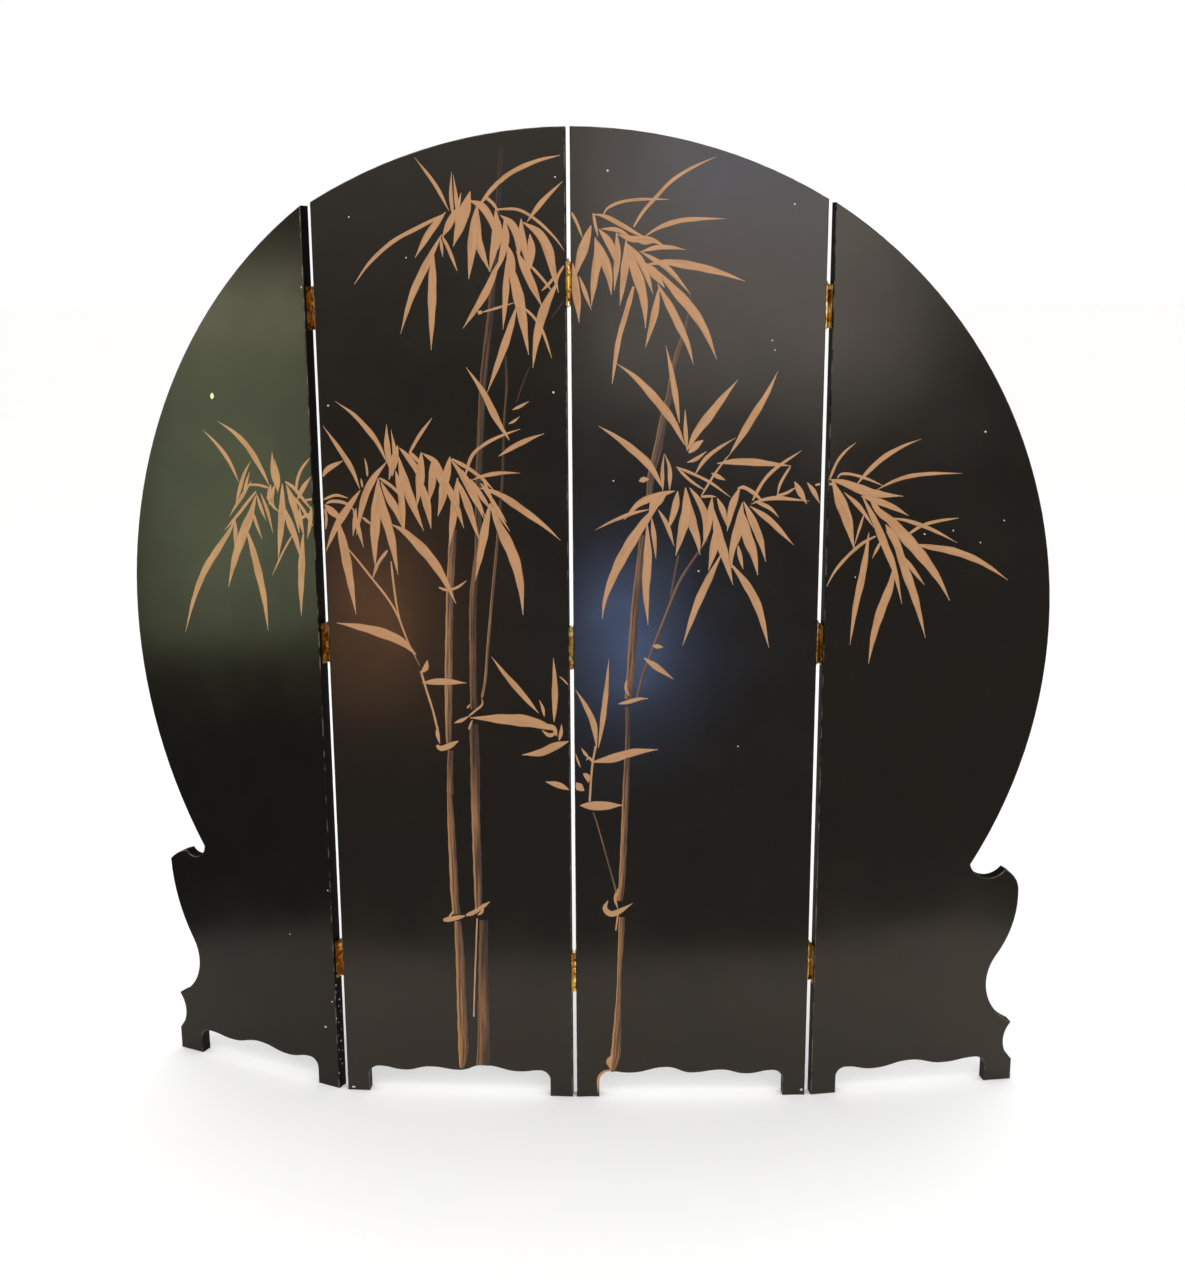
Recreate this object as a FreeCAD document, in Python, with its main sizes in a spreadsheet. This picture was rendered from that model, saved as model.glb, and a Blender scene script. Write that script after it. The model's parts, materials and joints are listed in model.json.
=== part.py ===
import FreeCAD, Part
import math
import os
import Sketcher
from FreeCAD import Placement, Rotation, Vector

# Round folding screen: four lacquered panels whose outlines together make one circle on a low
# shaped stand, hung on nine brass butt hinges. X runs along the screen, Y away from the painted
# side, Z up. The origin lies on the floor under the middle of the screen as it stands.

# Driving sizes in millimetres.
drivingSizes = {
    # the boards, which side by side make the circle; the lift is its lowest point's height
    "innerWidth": 448.5,
    "outerWidth": 437.3,
    "circleLift": 30.8,
    "panelThickness": 25.4,
    "edgeEase": 1.5,
    # the shaped stand, drawn in from the circle's reach and from the circle beside its notch
    "standInset": 30.0,
    "standDrop": 5.8,
    "outerFootWidth": 56.0,
    "outerSeamFootWidth": 50.0,
    "innerFootWidth": 44.0,
    "footSideHeight": 34.0,
    "coveRadius": 20.0,
    "apronHeight": 62.0,
    # hinge places, down from the top of each seam or up from the floor
    "outerHingeDrop": 177.0,
    "outerHingeRise": 273.0,
    "centreHingeDrop": 264.0,
    "centreHingeRise": 267.0,
    # butt hinges
    "leafLength": 76.2,
    "leafCover": 18.0,
    "leafThickness": 2.0,
    "letIn": 0.6,
    "barrelRadius": 5.0,
    "barrelClearance": 0.15,
    "knucklePlay": 0.3,
    "reliefClearance": 0.4,
    "mortiseClearance": 0.15,
    "pinRadius": 2.0,
    "pinClearance": 0.05,
    "pinFoot": 1.6,
    "collarRadius": 3.0,
    "collarHeight": 1.2,
    "neckHeight": 2.4,
    "tipRadius": 1.9,
    # wood screws
    "screwPitch": 29.0,
    "screwLength": 16.0,
    "screwHeadRadius": 3.1,
    "screwShankRadius": 1.6,
    "screwTipLength": 3.0,
    "screwSink": 0.1,
    "screwClearance": 0.05,
    "slotWidth": 0.9,
    "slotDepth": 0.8,
    # length by which every cutter runs past the solid
    "overrun": 4.0,
}

# How the screen stands, in degrees: the inner boards' turns away from a straight line and the
# bend at each outer seam.
standingAngles = {
    "innerLeftAngle": 3.0,
    "innerRightAngle": 1.6,
    "leftBendAngle": 22.3,
    "rightBendAngle": 8.0,
}

# Outline of the stand's end from the foot up to the notch beside the circle, each station as
# reach and height shares of the stand, with the radius of the arc that leads to it as a share of
# its own chord: zero for a straight stretch, positive where the outline swells, negative where
# it hollows, and None for an arc that carries on smoothly. The left end has a cornered head and
# the right one a round head.
leftEndShares = (
    (0.992, 0.100, 0.0),
    (0.978, 0.138, 0.0),
    (0.987, 0.274, -0.96),
    (0.934, 0.556, -0.665),
    (0.987, 0.922, None),
    (0.937, 0.978, 1.8),
)
rightEndShares = (
    (1.007, 0.094, 0.0),
    (0.990, 0.136, 0.0),
    (1.001, 0.271, -0.96),
    (0.957, 0.591, -0.655),
    (1.001, 0.886, None),
    (0.966, 0.982, None),
)
notchReachShare = 0.884
leftNotchShare = 0.52
rightNotchShare = 0.56
# Underside of an inner and of an outer board: its crests and hollows on the way from the foot
# beside the seam, as shares of the run between the feet and of the apron's height.
innerApronShares = (
    (0.167, 0.815),
    (0.366, 1.0),
    (0.503, 0.806),
    (0.661, 0.895),
    (0.802, 0.755),
)
outerApronShares = (
    (0.24, 0.739),
    (0.50, 0.935),
    (0.711, 0.758),
)
middleHingeShare = 0.4976
knuckleCount = 4
levels = ("bottom", "middle", "top")
# two ends of an edge that differ by less than this lie in one face
sameLevel = 1e-6

doc = FreeCAD.newDocument("RoundScreen")
sheet = doc.addObject("Spreadsheet::Sheet", "Sizes")
for row, (alias, value) in enumerate(drivingSizes.items(), start=1):
    sheet.set(f"A{row}", alias)
    sheet.set(f"B{row}", str(value))
    sheet.setAlias(f"B{row}", alias)
doc.recompute()


# A length that keeps its number beside the sheet formula that gives it, so that a feature can be
# drawn at once and stays bound to the sheet.
class Size:
    def __init__(self, value, text):
        self.value = value
        self.text = text

    def __add__(self, other):
        return Size(self.value + other.value, f"({self.text} + {other.text})")

    def __sub__(self, other):
        return Size(self.value - other.value, f"({self.text} - {other.text})")

    def __mul__(self, share):
        return Size(self.value * share, f"({self.text} * {share})")

    def __truediv__(self, share):
        return Size(self.value / share, f"({self.text} / {share})")

    def __neg__(self):
        return self * -1


zero = Size(0.0, "0")


def named(alias):
    return Size(drivingSizes[alias], f"Sizes.{alias}")


# Length of the leg of a right triangle from its long side and other leg.
def leg(longSide, otherLeg):
    value = math.sqrt(longSide.value**2 - otherLeg.value**2)
    return Size(value, f"sqrt({longSide.text} ^ 2 - {otherLeg.text} ^ 2)")


# Distance between two points given by their sizes.
def chord(start, end):
    across = end[0] - start[0]
    rise = end[1] - start[1]
    value = math.hypot(across.value, rise.value)
    return Size(value, f"sqrt({across.text} ^ 2 + {rise.text} ^ 2)")


# Radius of the two equal arcs of an S curve that starts and ends level.
def ogeeRadius(run, rise):
    value = (run.value**2 + rise.value**2) / (4 * abs(rise.value))
    return Size(value, f"(({run.text} ^ 2 + {rise.text} ^ 2) / (4 * abs({rise.text})))")


# Sizes that follow from the driving ones.
thickness = named("panelThickness")
innerWidth = named("innerWidth")
barrelRadius = named("barrelRadius")
leafThickness = named("leafThickness")
leafLength = named("leafLength")
overrun = named("overrun")
halfGap = barrelRadius - named("letIn")
axisStandoff = leg(barrelRadius + named("barrelClearance"), halfGap)
outerSeamReach = innerWidth + halfGap * 3
circleRadius = outerSeamReach + named("outerWidth")
centreHeight = circleRadius + named("circleLift")
overallHeight = centreHeight + circleRadius
leafInner = barrelRadius - leafThickness
leafReach = axisStandoff + named("leafCover")
screwReach = axisStandoff + named("leafCover") / 2
knucklePitch = leafLength / knuckleCount
screwStart = leafInner + named("screwSink")
boreRadius = named("pinRadius") + named("pinClearance")
countersinkRadius = named("screwHeadRadius") + named("screwClearance")
pilotRadius = named("screwShankRadius") + named("screwClearance")
headDepth = named("screwHeadRadius") - named("screwShankRadius")
screwEnd = screwStart + named("screwLength")
middleHinge = overallHeight * middleHingeShare
centreTopHinge = overallHeight - named("centreHingeDrop")
outerTopHinge = centreHeight + leg(circleRadius, outerSeamReach) - named("outerHingeDrop")
hingeHeights = {
    "centre": (named("centreHingeRise"), middleHinge, centreTopHinge),
    "outer": (named("outerHingeRise"), middleHinge, outerTopHinge),
}


# Binds one property of an object to a size.
def bind(target, prop, size):
    target.setExpression(prop, size.text)


# New sketch on one of the body's origin planes, moved along the plane's normal by lift.
def planeSketch(body, role, name, lift=zero):
    sketch = body.newObject("Sketcher::SketchObject", name)
    plane = next(item for item in body.Origin.OriginFeatures if item.Role == role)
    sketch.AttachmentSupport = [(plane, "")]
    sketch.MapMode = "FlatFace"
    sketch.AttachmentOffset = Placement(Vector(0, 0, lift.value), Rotation())
    bind(sketch, "AttachmentOffset.Base.z", lift)
    return sketch


def bindConstraint(sketch, constraint, size):
    index = sketch.addConstraint(constraint)
    sketch.setExpression(f"Constraints[{index}]", size.text)


# Fixes one point of a sketch at x and y; a zero coordinate puts it on the axis.
def fixPoint(sketch, item, spot, x, y):
    for kind, axis, size in (("DistanceX", -2, x), ("DistanceY", -1, y)):
        if size.text == zero.text:
            sketch.addConstraint(Sketcher.Constraint("PointOnObject", item, spot, axis))
        else:
            bindConstraint(sketch, Sketcher.Constraint(kind, -1, 1, item, spot, size.value), size)


# Centre of the arc of the given radius from start to end that turns left, or right.
def arcCentre(start, end, radius, turnsLeft):
    span = end - start
    half = span.Length / 2
    away = math.sqrt(radius**2 - half**2) / span.Length
    side = 1 if turnsLeft else -1
    return start + span / 2 + Vector(-span.y, span.x, 0) * (away * side)


# Radius of the arc that leaves start along a heading and ends at end, positive for a left turn.
def smoothRadius(start, heading, end):
    span = end - start
    sideways = span.dot(Vector(-heading.y, heading.x, 0))
    return span.Length**2 / (2 * sideways)


# Closed outline of lines and arcs. Each step is (x, y, radius): a zero radius for a line, a
# positive one for an arc that turns left on the way round, a negative one for a right turn and
# None for an arc that leaves the stretch before it smoothly.
def drawOutline(sketch, steps):
    points = [Vector(x.value, y.value, 0) for x, y, radius in steps]
    tail = None
    for index, (x, y, radius) in enumerate(steps):
        start = points[index - 1]
        end = points[index]
        bend = smoothRadius(start, heading, end) if radius is None else radius.value
        if bend == 0:
            item = sketch.addGeometry(Part.LineSegment(start, end))
            spots = (1, 2)
            heading = (end - start).normalize()
        else:
            turnsLeft = bend > 0
            centre = arcCentre(start, end, abs(bend), turnsLeft)
            first, last = (start, end) if turnsLeft else (end, start)
            firstAngle = math.atan2(first.y - centre.y, first.x - centre.x)
            lastAngle = math.atan2(last.y - centre.y, last.x - centre.x)
            circle = Part.Circle(centre, Vector(0, 0, 1), abs(bend))
            item = sketch.addGeometry(Part.ArcOfCircle(circle, firstAngle, lastAngle))
            spots = (1, 2) if turnsLeft else (2, 1)
            heading = Vector(centre.y - end.y, end.x - centre.x, 0) * (1 / bend)
            if radius is not None:
                width = radius if turnsLeft else -radius
                bindConstraint(sketch, Sketcher.Constraint("Radius", item, width.value), width)
        fixPoint(sketch, item, spots[1], x, y)
        if tail is None:
            opening = (item, spots[0])
        else:
            joint = "Tangent" if radius is None else "Coincident"
            sketch.addConstraint(Sketcher.Constraint(joint, *tail, item, spots[0]))
        tail = (item, spots[1])
    sketch.addConstraint(Sketcher.Constraint("Coincident", *tail, *opening))


def drawCircle(sketch, x, y, radius):
    circle = Part.Circle(Vector(x.value, y.value, 0), Vector(0, 0, 1), radius.value)
    item = sketch.addGeometry(circle)
    fixPoint(sketch, item, 3, x, y)
    bindConstraint(sketch, Sketcher.Constraint("Radius", item, radius.value), radius)


def drawRectangle(sketch, left, right, low, high):
    corners = ((left, low), (right, low), (right, high), (left, high))
    drawOutline(sketch, [(x, y, zero) for x, y in corners])


def extrude(body, kind, name, sketch, length, midplane=False, backwards=False):
    feature = body.newObject(kind, name)
    feature.Profile = sketch
    feature.Midplane = midplane
    feature.Reversed = backwards
    bind(feature, "Length", length)
    doc.recompute()
    return feature


def revolve(body, kind, name, sketch, axisName):
    feature = body.newObject(kind, name)
    feature.Profile = sketch
    feature.ReferenceAxis = (sketch, [axisName])
    feature.Angle = 360
    doc.recompute()
    return feature


# Repeats features up the body's Z axis.
def repeatUp(body, name, features, span, count):
    pattern = body.newObject("PartDesign::LinearPattern", name)
    axis = next(item for item in body.Origin.OriginFeatures if item.Role == "Z_Axis")
    pattern.Originals = features
    pattern.Direction = (axis, [""])
    bind(pattern, "Length", span)
    pattern.Occurrences = count
    body.Tip = pattern
    doc.recompute()
    return pattern


def newBody(label):
    body = doc.addObject("PartDesign::Body", "Body_" + label)
    body.Label = label
    body.AllowCompound = True
    return body


# Height of the circle at a distance from the screen's middle, above or below its centre.
def circleHeight(reach, share):
    return centreHeight + leg(circleRadius, reach) * share


# Underside of a board from the foot's inner side at x=start to the other foot's at x=end: a cove
# beside each foot and S curves from each crest or hollow to the next.
def apronSteps(start, end, bendShares):
    run = end - start
    heading = 1 if run.value > 0 else -1
    cove = named("coveRadius") * heading
    coveArc = named("coveRadius") * -heading
    coveTop = named("footSideHeight") + named("coveRadius")
    steps = [
        (start, zero, zero),
        (start, named("footSideHeight"), zero),
        (start + cove, coveTop, coveArc),
    ]
    bends = [(start + run * place, named("apronHeight") * height) for place, height in bendShares]
    bends.append((end - cove, coveTop))
    for x, z in bends:
        lastX, lastZ = steps[-1][:2]
        turn = heading if z.value > lastZ.value else -heading
        arc = ogeeRadius(x - lastX, z - lastZ) * turn
        steps.append(((lastX + x) / 2, (lastZ + z) / 2, arc))
        steps.append((x, z, -arc))
    steps.append((end, named("footSideHeight"), coveArc))
    steps.append((end, zero, zero))
    return steps


# Outline of an inner board from its centre edge, side +1 for the right one and -1 for the left.
def innerOutline(side):
    outer = innerWidth * side
    footWidth = named("innerFootWidth") * side
    steps = [(zero, zero, zero)] + apronSteps(footWidth, outer - footWidth, innerApronShares)
    steps.append((outer, zero, zero))
    steps.append((outer, circleHeight(halfGap + innerWidth, 1), zero))
    steps.append((zero, circleHeight(halfGap, 1), circleRadius * side))
    return steps


# Outline of an outer board from its seam edge, with the stand's carved end.
def outerOutline(side, endShares, notchShare):
    reach = circleRadius - named("standInset")
    notchReach = reach * notchReachShare
    height = circleHeight(notchReach, -1) - named("standDrop")
    footReach = reach * endShares[0][0] - outerSeamReach
    footEnd = footReach * side
    footStart = (footReach - named("outerFootWidth")) * side
    seamFoot = named("outerSeamFootWidth") * side
    steps = [(zero, zero, zero)] + apronSteps(seamFoot, footStart, outerApronShares)
    steps.append((footEnd, zero, zero))
    for reachShare, heightShare, radiusShare in endShares:
        point = ((reach * reachShare - outerSeamReach) * side, height * heightShare)
        if radiusShare is None:
            radius = None
        elif radiusShare == 0:
            radius = zero
        else:
            radius = chord(steps[-1], point) * (radiusShare * side)
        steps.append((*point, radius))
    rim = ((notchReach - outerSeamReach) * side, circleHeight(notchReach, -1))
    steps.append((*rim, chord(steps[-1], rim) * (notchShare * -side)))
    steps.append((zero, circleHeight(outerSeamReach, 1), circleRadius * side))
    return steps


# Takes the sharpness off the long edges of both faces of a board, from the circle down to the feet.
def easeEdges(body, pad):
    names = []
    for index, edge in enumerate(pad.Shape.Edges, start=1):
        spots = [vertex.Point.y for vertex in edge.Vertexes]
        if abs(spots[0] - spots[-1]) < sameLevel:
            names.insert(0, f"Edge{index}")
    eased = body.newObject("PartDesign::Chamfer", "EasedEdges")
    eased.Base = (pad, names)
    bind(eased, "Size", named("edgeEase"))
    doc.recompute()


# Shallow mortises for the hinge leaves and pilot holes for their screws in one edge of a board.
# The edge lies at x=place and faces -X or +X; the barrel stands behind or before the board.
def cutHingeSeats(body, tag, place, facesLeft, heights, barrelBehind):
    cover = named("leafCover") + named("mortiseClearance")
    if barrelBehind:
        near, far = thickness - cover, thickness + overrun
        screwPlace = thickness + axisStandoff - screwReach
    else:
        near, far = -overrun, cover
        screwPlace = screwReach - axisStandoff
    halfLength = leafLength / 2 + named("mortiseClearance")
    mortises = planeSketch(body, "YZ_Plane", f"{tag}Mortises", place)
    pilots = planeSketch(body, "YZ_Plane", f"{tag}Pilots", place)
    for height in heights:
        drawRectangle(mortises, near, far, height - halfLength, height + halfLength)
        for step in (-1, 0, 1):
            drawCircle(pilots, screwPlace, height + named("screwPitch") * step, pilotRadius)
    pilotDepth = screwEnd - halfGap + named("screwClearance")
    cuts = (("MortisePocket", mortises, named("letIn")), ("PilotPocket", pilots, pilotDepth))
    for name, sketch, depth in cuts:
        extrude(body, "PartDesign::Pocket", tag + name, sketch, depth, backwards=facesLeft)


def buildBoard(label, outline, side, seats):
    body = newBody(label)
    sketch = planeSketch(body, "XZ_Plane", "Outline")
    drawOutline(sketch, outline)
    pad = extrude(body, "PartDesign::Pad", "Board", sketch, thickness, backwards=True)
    easeEdges(body, pad)
    for tag, place, facesLeft, heights, barrelBehind in seats:
        cutHingeSeats(body, tag, place, facesLeft, heights, barrelBehind)
    return body


# Hinge leaf in the hinge's own frame: the pin runs up Z through the origin, the plate lies on the
# +X side and reaches along +Y, and its two knuckles are the first and third of the four.
def buildLeaf(label):
    body = newBody(label)
    plate = planeSketch(body, "XY_Plane", "PlateProfile")
    drawRectangle(plate, leafInner, barrelRadius, zero, leafReach)
    extrude(body, "PartDesign::Pad", "Plate", plate, leafLength, midplane=True)
    ownStart = leafLength / -2 + named("knucklePlay") / 2
    own = planeSketch(body, "XY_Plane", "KnuckleProfile", ownStart)
    drawCircle(own, zero, zero, barrelRadius)
    knuckleLength = knucklePitch - named("knucklePlay")
    knuckle = extrude(body, "PartDesign::Pad", "Knuckle", own, knuckleLength)
    repeatUp(body, "Knuckles", [knuckle], knucklePitch * 2, knuckleCount // 2)
    other = planeSketch(body, "XY_Plane", "ReliefProfile", ownStart + knuckleLength)
    drawCircle(other, zero, zero, barrelRadius + named("reliefClearance"))
    reliefLength = knucklePitch + named("knucklePlay")
    relief = extrude(body, "PartDesign::Pocket", "Relief", other, reliefLength, backwards=True)
    repeatUp(body, "Reliefs", [relief], knucklePitch * 2, knuckleCount // 2)
    bore = planeSketch(body, "XY_Plane", "BoreProfile")
    drawCircle(bore, zero, zero, boreRadius)
    boreLength = leafLength + overrun
    extrude(body, "PartDesign::Pocket", "PinBore", bore, boreLength, midplane=True)
    sink = planeSketch(body, "XY_Plane", "CountersinkProfile", -named("screwPitch"))
    bind(sink, "AttachmentOffset.Base.y", screwReach)
    sinkEnd = leafInner + headDepth
    drawOutline(sink, [
        (leafInner, zero, zero),
        (leafInner, countersinkRadius, zero),
        (sinkEnd, pilotRadius, zero),
        (barrelRadius + overrun, pilotRadius, zero),
        (barrelRadius + overrun, zero, zero),
    ])
    hole = revolve(body, "PartDesign::Groove", "ScrewHole", sink, "H_Axis")
    repeatUp(body, "ScrewHoles", [hole], named("screwPitch") * 2, 3)
    return body


# The three countersunk wood screws of one leaf, in the leaf's frame.
def buildScrews(label):
    body = newBody(label)
    profile = planeSketch(body, "XY_Plane", "ScrewProfile", -named("screwPitch"))
    bind(profile, "AttachmentOffset.Base.y", screwReach)
    drawOutline(profile, [
        (screwStart, zero, zero),
        (screwStart, named("screwHeadRadius") - named("screwSink"), zero),
        (screwStart + headDepth - named("screwSink"), named("screwShankRadius"), zero),
        (screwEnd - named("screwTipLength"), named("screwShankRadius"), zero),
        (screwEnd, zero, zero),
    ])
    screw = revolve(body, "PartDesign::Revolution", "Screw", profile, "H_Axis")
    slot = planeSketch(body, "YZ_Plane", "SlotProfile", screwStart)
    slotHalf = named("screwHeadRadius") + overrun
    width = named("slotWidth") / 2
    height = -named("screwPitch")
    drawRectangle(slot, screwReach - slotHalf, screwReach + slotHalf, height - width, height + width)
    cut = extrude(body, "PartDesign::Pocket", "Slot", slot, named("slotDepth"), backwards=True)
    repeatUp(body, "Screws", [screw, cut], named("screwPitch") * 2, 3)
    return body


# Loose pin with a collar, a short neck and a rounded tip above the barrel.
def buildPin(label):
    body = newBody(label)
    profile = planeSketch(body, "XZ_Plane", "PinProfile")
    top = leafLength / 2 + named("knucklePlay") / 2
    collarTop = top + named("collarHeight")
    neckTop = collarTop + named("neckHeight")
    tip = named("tipRadius")
    drawOutline(profile, [
        (zero, leafLength / -2 - named("pinFoot"), zero),
        (named("pinRadius"), leafLength / -2 - named("pinFoot"), zero),
        (named("pinRadius"), top, zero),
        (named("collarRadius"), top, zero),
        (named("collarRadius"), collarTop, zero),
        (tip, collarTop, zero),
        (tip, neckTop, zero),
        (zero, neckTop + tip, tip),
    ])
    revolve(body, "PartDesign::Revolution", "Pin", profile, "V_Axis")
    return body


# Frame of a part that stands at a point of its parent's frame, turned about Z.
def turned(parent, x, y, z, angle):
    return parent.multiply(Placement(Vector(x, y, z), Rotation(Vector(0, 0, 1), angle)))


# Frame of a board whose hinge axis lies at x and y in its own frame and at the parent's axis.
def hungOn(parent, axis, angle, own):
    return turned(parent, axis[0], axis[1], 0, angle).multiply(
        Placement(Vector(-own[0], -own[1], 0), Rotation()))


centreHeights = hingeHeights["centre"]
outerHeights = hingeHeights["outer"]
boards = {}
sides = (
    ("left", -1, leftEndShares, leftNotchShare),
    ("right", 1, rightEndShares, rightNotchShare),
)
for sideName, side, endShares, notchShare in sides:
    seam = innerWidth * side
    innerSeats = (
        ("Centre", zero, side > 0, centreHeights, False),
        ("Seam", seam, side < 0, outerHeights, True),
    )
    outerSeats = (("Seam", zero, side > 0, outerHeights, True),)
    name = f"inner_{sideName}_panel"
    boards[name] = buildBoard(name, innerOutline(side), side, innerSeats)
    name = f"outer_{sideName}_panel"
    outline = outerOutline(side, endShares, notchShare)
    boards[name] = buildBoard(name, outline, side, outerSeats)

# The boards as they stand: the inner pair meets at the centre hinges, whose barrels are on the
# painted side, and the outer boards hang on barrels behind the screen.
gap = halfGap.value
standoff = axisStandoff.value
behind = thickness.value + standoff
seamAxis = innerWidth.value + gap
origin = Placement()
frames = {}
angles = standingAngles
centreAxis = (0, 0)
frames["inner_left_panel"] = hungOn(origin, centreAxis, -angles["innerLeftAngle"], (gap, -standoff))
frames["inner_right_panel"] = hungOn(origin, centreAxis, angles["innerRightAngle"], (-gap, -standoff))
frames["outer_left_panel"] = hungOn(
    frames["inner_left_panel"], (-seamAxis, behind), -angles["leftBendAngle"], (gap, behind))
frames["outer_right_panel"] = hungOn(
    frames["inner_right_panel"], (seamAxis, behind), angles["rightBendAngle"], (-gap, behind))

# Each seam: the two boards, the axis in each board's frame, and how the leaves lie there.
aboutX = Rotation(Vector(1, 0, 0), 180)
aboutY = Rotation(Vector(0, 1, 0), 180)
aboutZ = Rotation(Vector(0, 0, 1), 180)
seams = {
    "left": (
        ("outer", "outer_left_panel", (gap, behind), aboutZ),
        ("inner", "inner_left_panel", (-seamAxis, behind), aboutX),
        outerHeights,
    ),
    "centre": (
        ("left", "inner_left_panel", (gap, -standoff), aboutY),
        ("right", "inner_right_panel", (-gap, -standoff), Rotation()),
        centreHeights,
    ),
    "right": (
        ("inner", "inner_right_panel", (seamAxis, behind), aboutZ),
        ("outer", "outer_right_panel", (-gap, behind), aboutX),
        outerHeights,
    ),
}
pinCarriers = {"left": 1, "centre": 0, "right": 0}

# Every hinge is made of the same leaf, screws and pin, placed again and again.
patterns = {
    "leaf": buildLeaf("leaf_pattern"),
    "screws": buildScrews("screws_pattern"),
    "pin": buildPin("pin_pattern"),
}


def placeCopy(label, kind):
    copy = doc.addObject("App::Link", "Copy_" + label)
    copy.LinkedObject = patterns[kind]
    copy.Label = label
    return copy


pieces = {}
places = {}
for name, body in boards.items():
    pieces[name] = body
    places[name] = frames[name]
for seamName, (firstLeaf, secondLeaf, heights) in seams.items():
    leaves = (firstLeaf, secondLeaf)
    for level, height in zip(levels, heights):
        hinge = f"{seamName}_{level}_hinge"
        for leafName, boardName, axis, lie in leaves:
            frame = turned(frames[boardName], axis[0], axis[1], height.value, 0)
            for kind in ("leaf", "screws"):
                label = f"{hinge}_{leafName}_{kind}"
                pieces[label] = placeCopy(label, kind)
                places[label] = frame.multiply(Placement(Vector(), lie))
        leafName, boardName, axis, lie = leaves[pinCarriers[seamName]]
        label = f"{hinge}_pin"
        pieces[label] = placeCopy(label, "pin")
        places[label] = turned(frames[boardName], axis[0], axis[1], height.value, 0)

# The origin goes under the middle of the box that the standing screen fills.
for name, piece in pieces.items():
    piece.Placement = places[name]
doc.recompute()
box = FreeCAD.BoundBox()
for piece in pieces.values():
    box.add(Part.getShape(piece).BoundBox)
shift = Placement(Vector(-box.Center.x, -box.Center.y, -box.ZMin), Rotation())
for name, piece in pieces.items():
    piece.Placement = shift.multiply(places[name])
doc.recompute()

faults = [item.Label for item in doc.Objects if {"Invalid", "Error"} & set(item.State)]
shapes = {name: Part.getShape(piece) for name, piece in pieces.items()}
for name, shape in shapes.items():
    if shape.isNull() or not shape.isValid():
        faults.append(name)
if faults:
    raise RuntimeError("failed: " + ", ".join(faults))

os.makedirs("parts", exist_ok=True)
for name, shape in shapes.items():
    shape.exportStep(f"parts/{name}.step")
    print(f"{name}: {len(shape.Solids)} solids, {shape.Volume:.0f} mm3")
print(f"screen {box.XLength:.1f} wide, {box.YLength:.1f} deep, {box.ZLength:.1f} high")
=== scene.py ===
import json
import math
import random

import bmesh
import bpy
from mathutils import Matrix, Vector

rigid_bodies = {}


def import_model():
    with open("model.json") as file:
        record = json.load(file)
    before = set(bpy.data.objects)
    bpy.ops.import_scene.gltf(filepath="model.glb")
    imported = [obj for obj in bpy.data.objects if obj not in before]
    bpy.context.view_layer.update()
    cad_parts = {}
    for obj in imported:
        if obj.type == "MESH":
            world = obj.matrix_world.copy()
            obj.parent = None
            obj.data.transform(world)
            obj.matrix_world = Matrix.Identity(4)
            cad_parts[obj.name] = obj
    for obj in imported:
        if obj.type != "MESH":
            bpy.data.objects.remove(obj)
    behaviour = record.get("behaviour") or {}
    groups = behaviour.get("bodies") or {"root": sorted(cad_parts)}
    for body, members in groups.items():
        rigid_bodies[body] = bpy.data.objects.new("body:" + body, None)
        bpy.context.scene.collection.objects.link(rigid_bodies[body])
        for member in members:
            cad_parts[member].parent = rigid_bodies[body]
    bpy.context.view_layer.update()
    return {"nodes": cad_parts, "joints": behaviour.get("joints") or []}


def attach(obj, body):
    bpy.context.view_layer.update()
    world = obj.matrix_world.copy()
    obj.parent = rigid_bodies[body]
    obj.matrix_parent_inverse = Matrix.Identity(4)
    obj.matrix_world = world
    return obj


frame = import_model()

nodes = frame["nodes"]
joints = {joint["name"]: joint for joint in frame["joints"]}
print("frame loaded:", len(nodes), "nodes")


# Turns an sRGB hex colour into Blender's linear colour.
def hexToLinear(text):
    channels = [int(text[i:i + 2], 16) / 255 for i in (1, 3, 5)]
    linear = [c / 12.92 if c <= 0.04045 else ((c + 0.055) / 1.055) ** 2.4 for c in channels]
    return (*linear, 1.0)


# Adds one node: settings name its options and unlinked inputs, links name what feeds an input.
def addNode(tree, kind, settings=None, links=None):
    node = tree.nodes.new("ShaderNode" + kind)
    for key, value in (settings or {}).items():
        if isinstance(key, int) or key in node.inputs:
            node.inputs[key].default_value = value
        else:
            setattr(node, key, value)
    for key, socket in (links or {}).items():
        tree.links.new(socket, node.inputs[key])
    return node


# New material with its Principled surface, whose settings are constant all over the surface.
def newMaterial(name, settings):
    material = bpy.data.materials.new(name)
    material.use_nodes = True
    tree = material.node_tree
    surface = tree.nodes["Principled BSDF"]
    for key, value in settings.items():
        surface.inputs[key].default_value = value
    return material, tree, surface


# Noise whose grain is grainMm wide, in the object's own metres unless another vector is given.
def grainNoise(tree, place, grainMm, detail=3.0, rough=0.5):
    scale = 1000 / grainMm
    return addNode(tree, "TexNoise", {"Scale": scale, "Detail": detail, "Roughness": rough},
                   {"Vector": place}).outputs["Fac"]


# Spreads the part of a value between low and high over a new range.
def remap(tree, value, low, high, newLow=0.0, newHigh=1.0):
    return addNode(tree, "MapRange", {"From Min": low, "From Max": high,
                                      "To Min": newLow, "To Max": newHigh},
                   {"Value": value}).outputs["Result"]


# Mixes two colours by a factor socket. Each is a hex colour, a linear one or a socket.
def mixColour(tree, factor, first, second):
    node = addNode(tree, "Mix", {"data_type": "RGBA"}, {0: factor})
    for index, colour in ((6, first), (7, second)):
        if isinstance(colour, str):
            colour = hexToLinear(colour)
        if isinstance(colour, tuple):
            node.inputs[index].default_value = colour
        else:
            tree.links.new(colour, node.inputs[index])
    return node.outputs[2]


def multiply(tree, first, second):
    return addNode(tree, "Math", {"operation": "MULTIPLY"}, {0: first, 1: second}).outputs[0]


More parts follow.
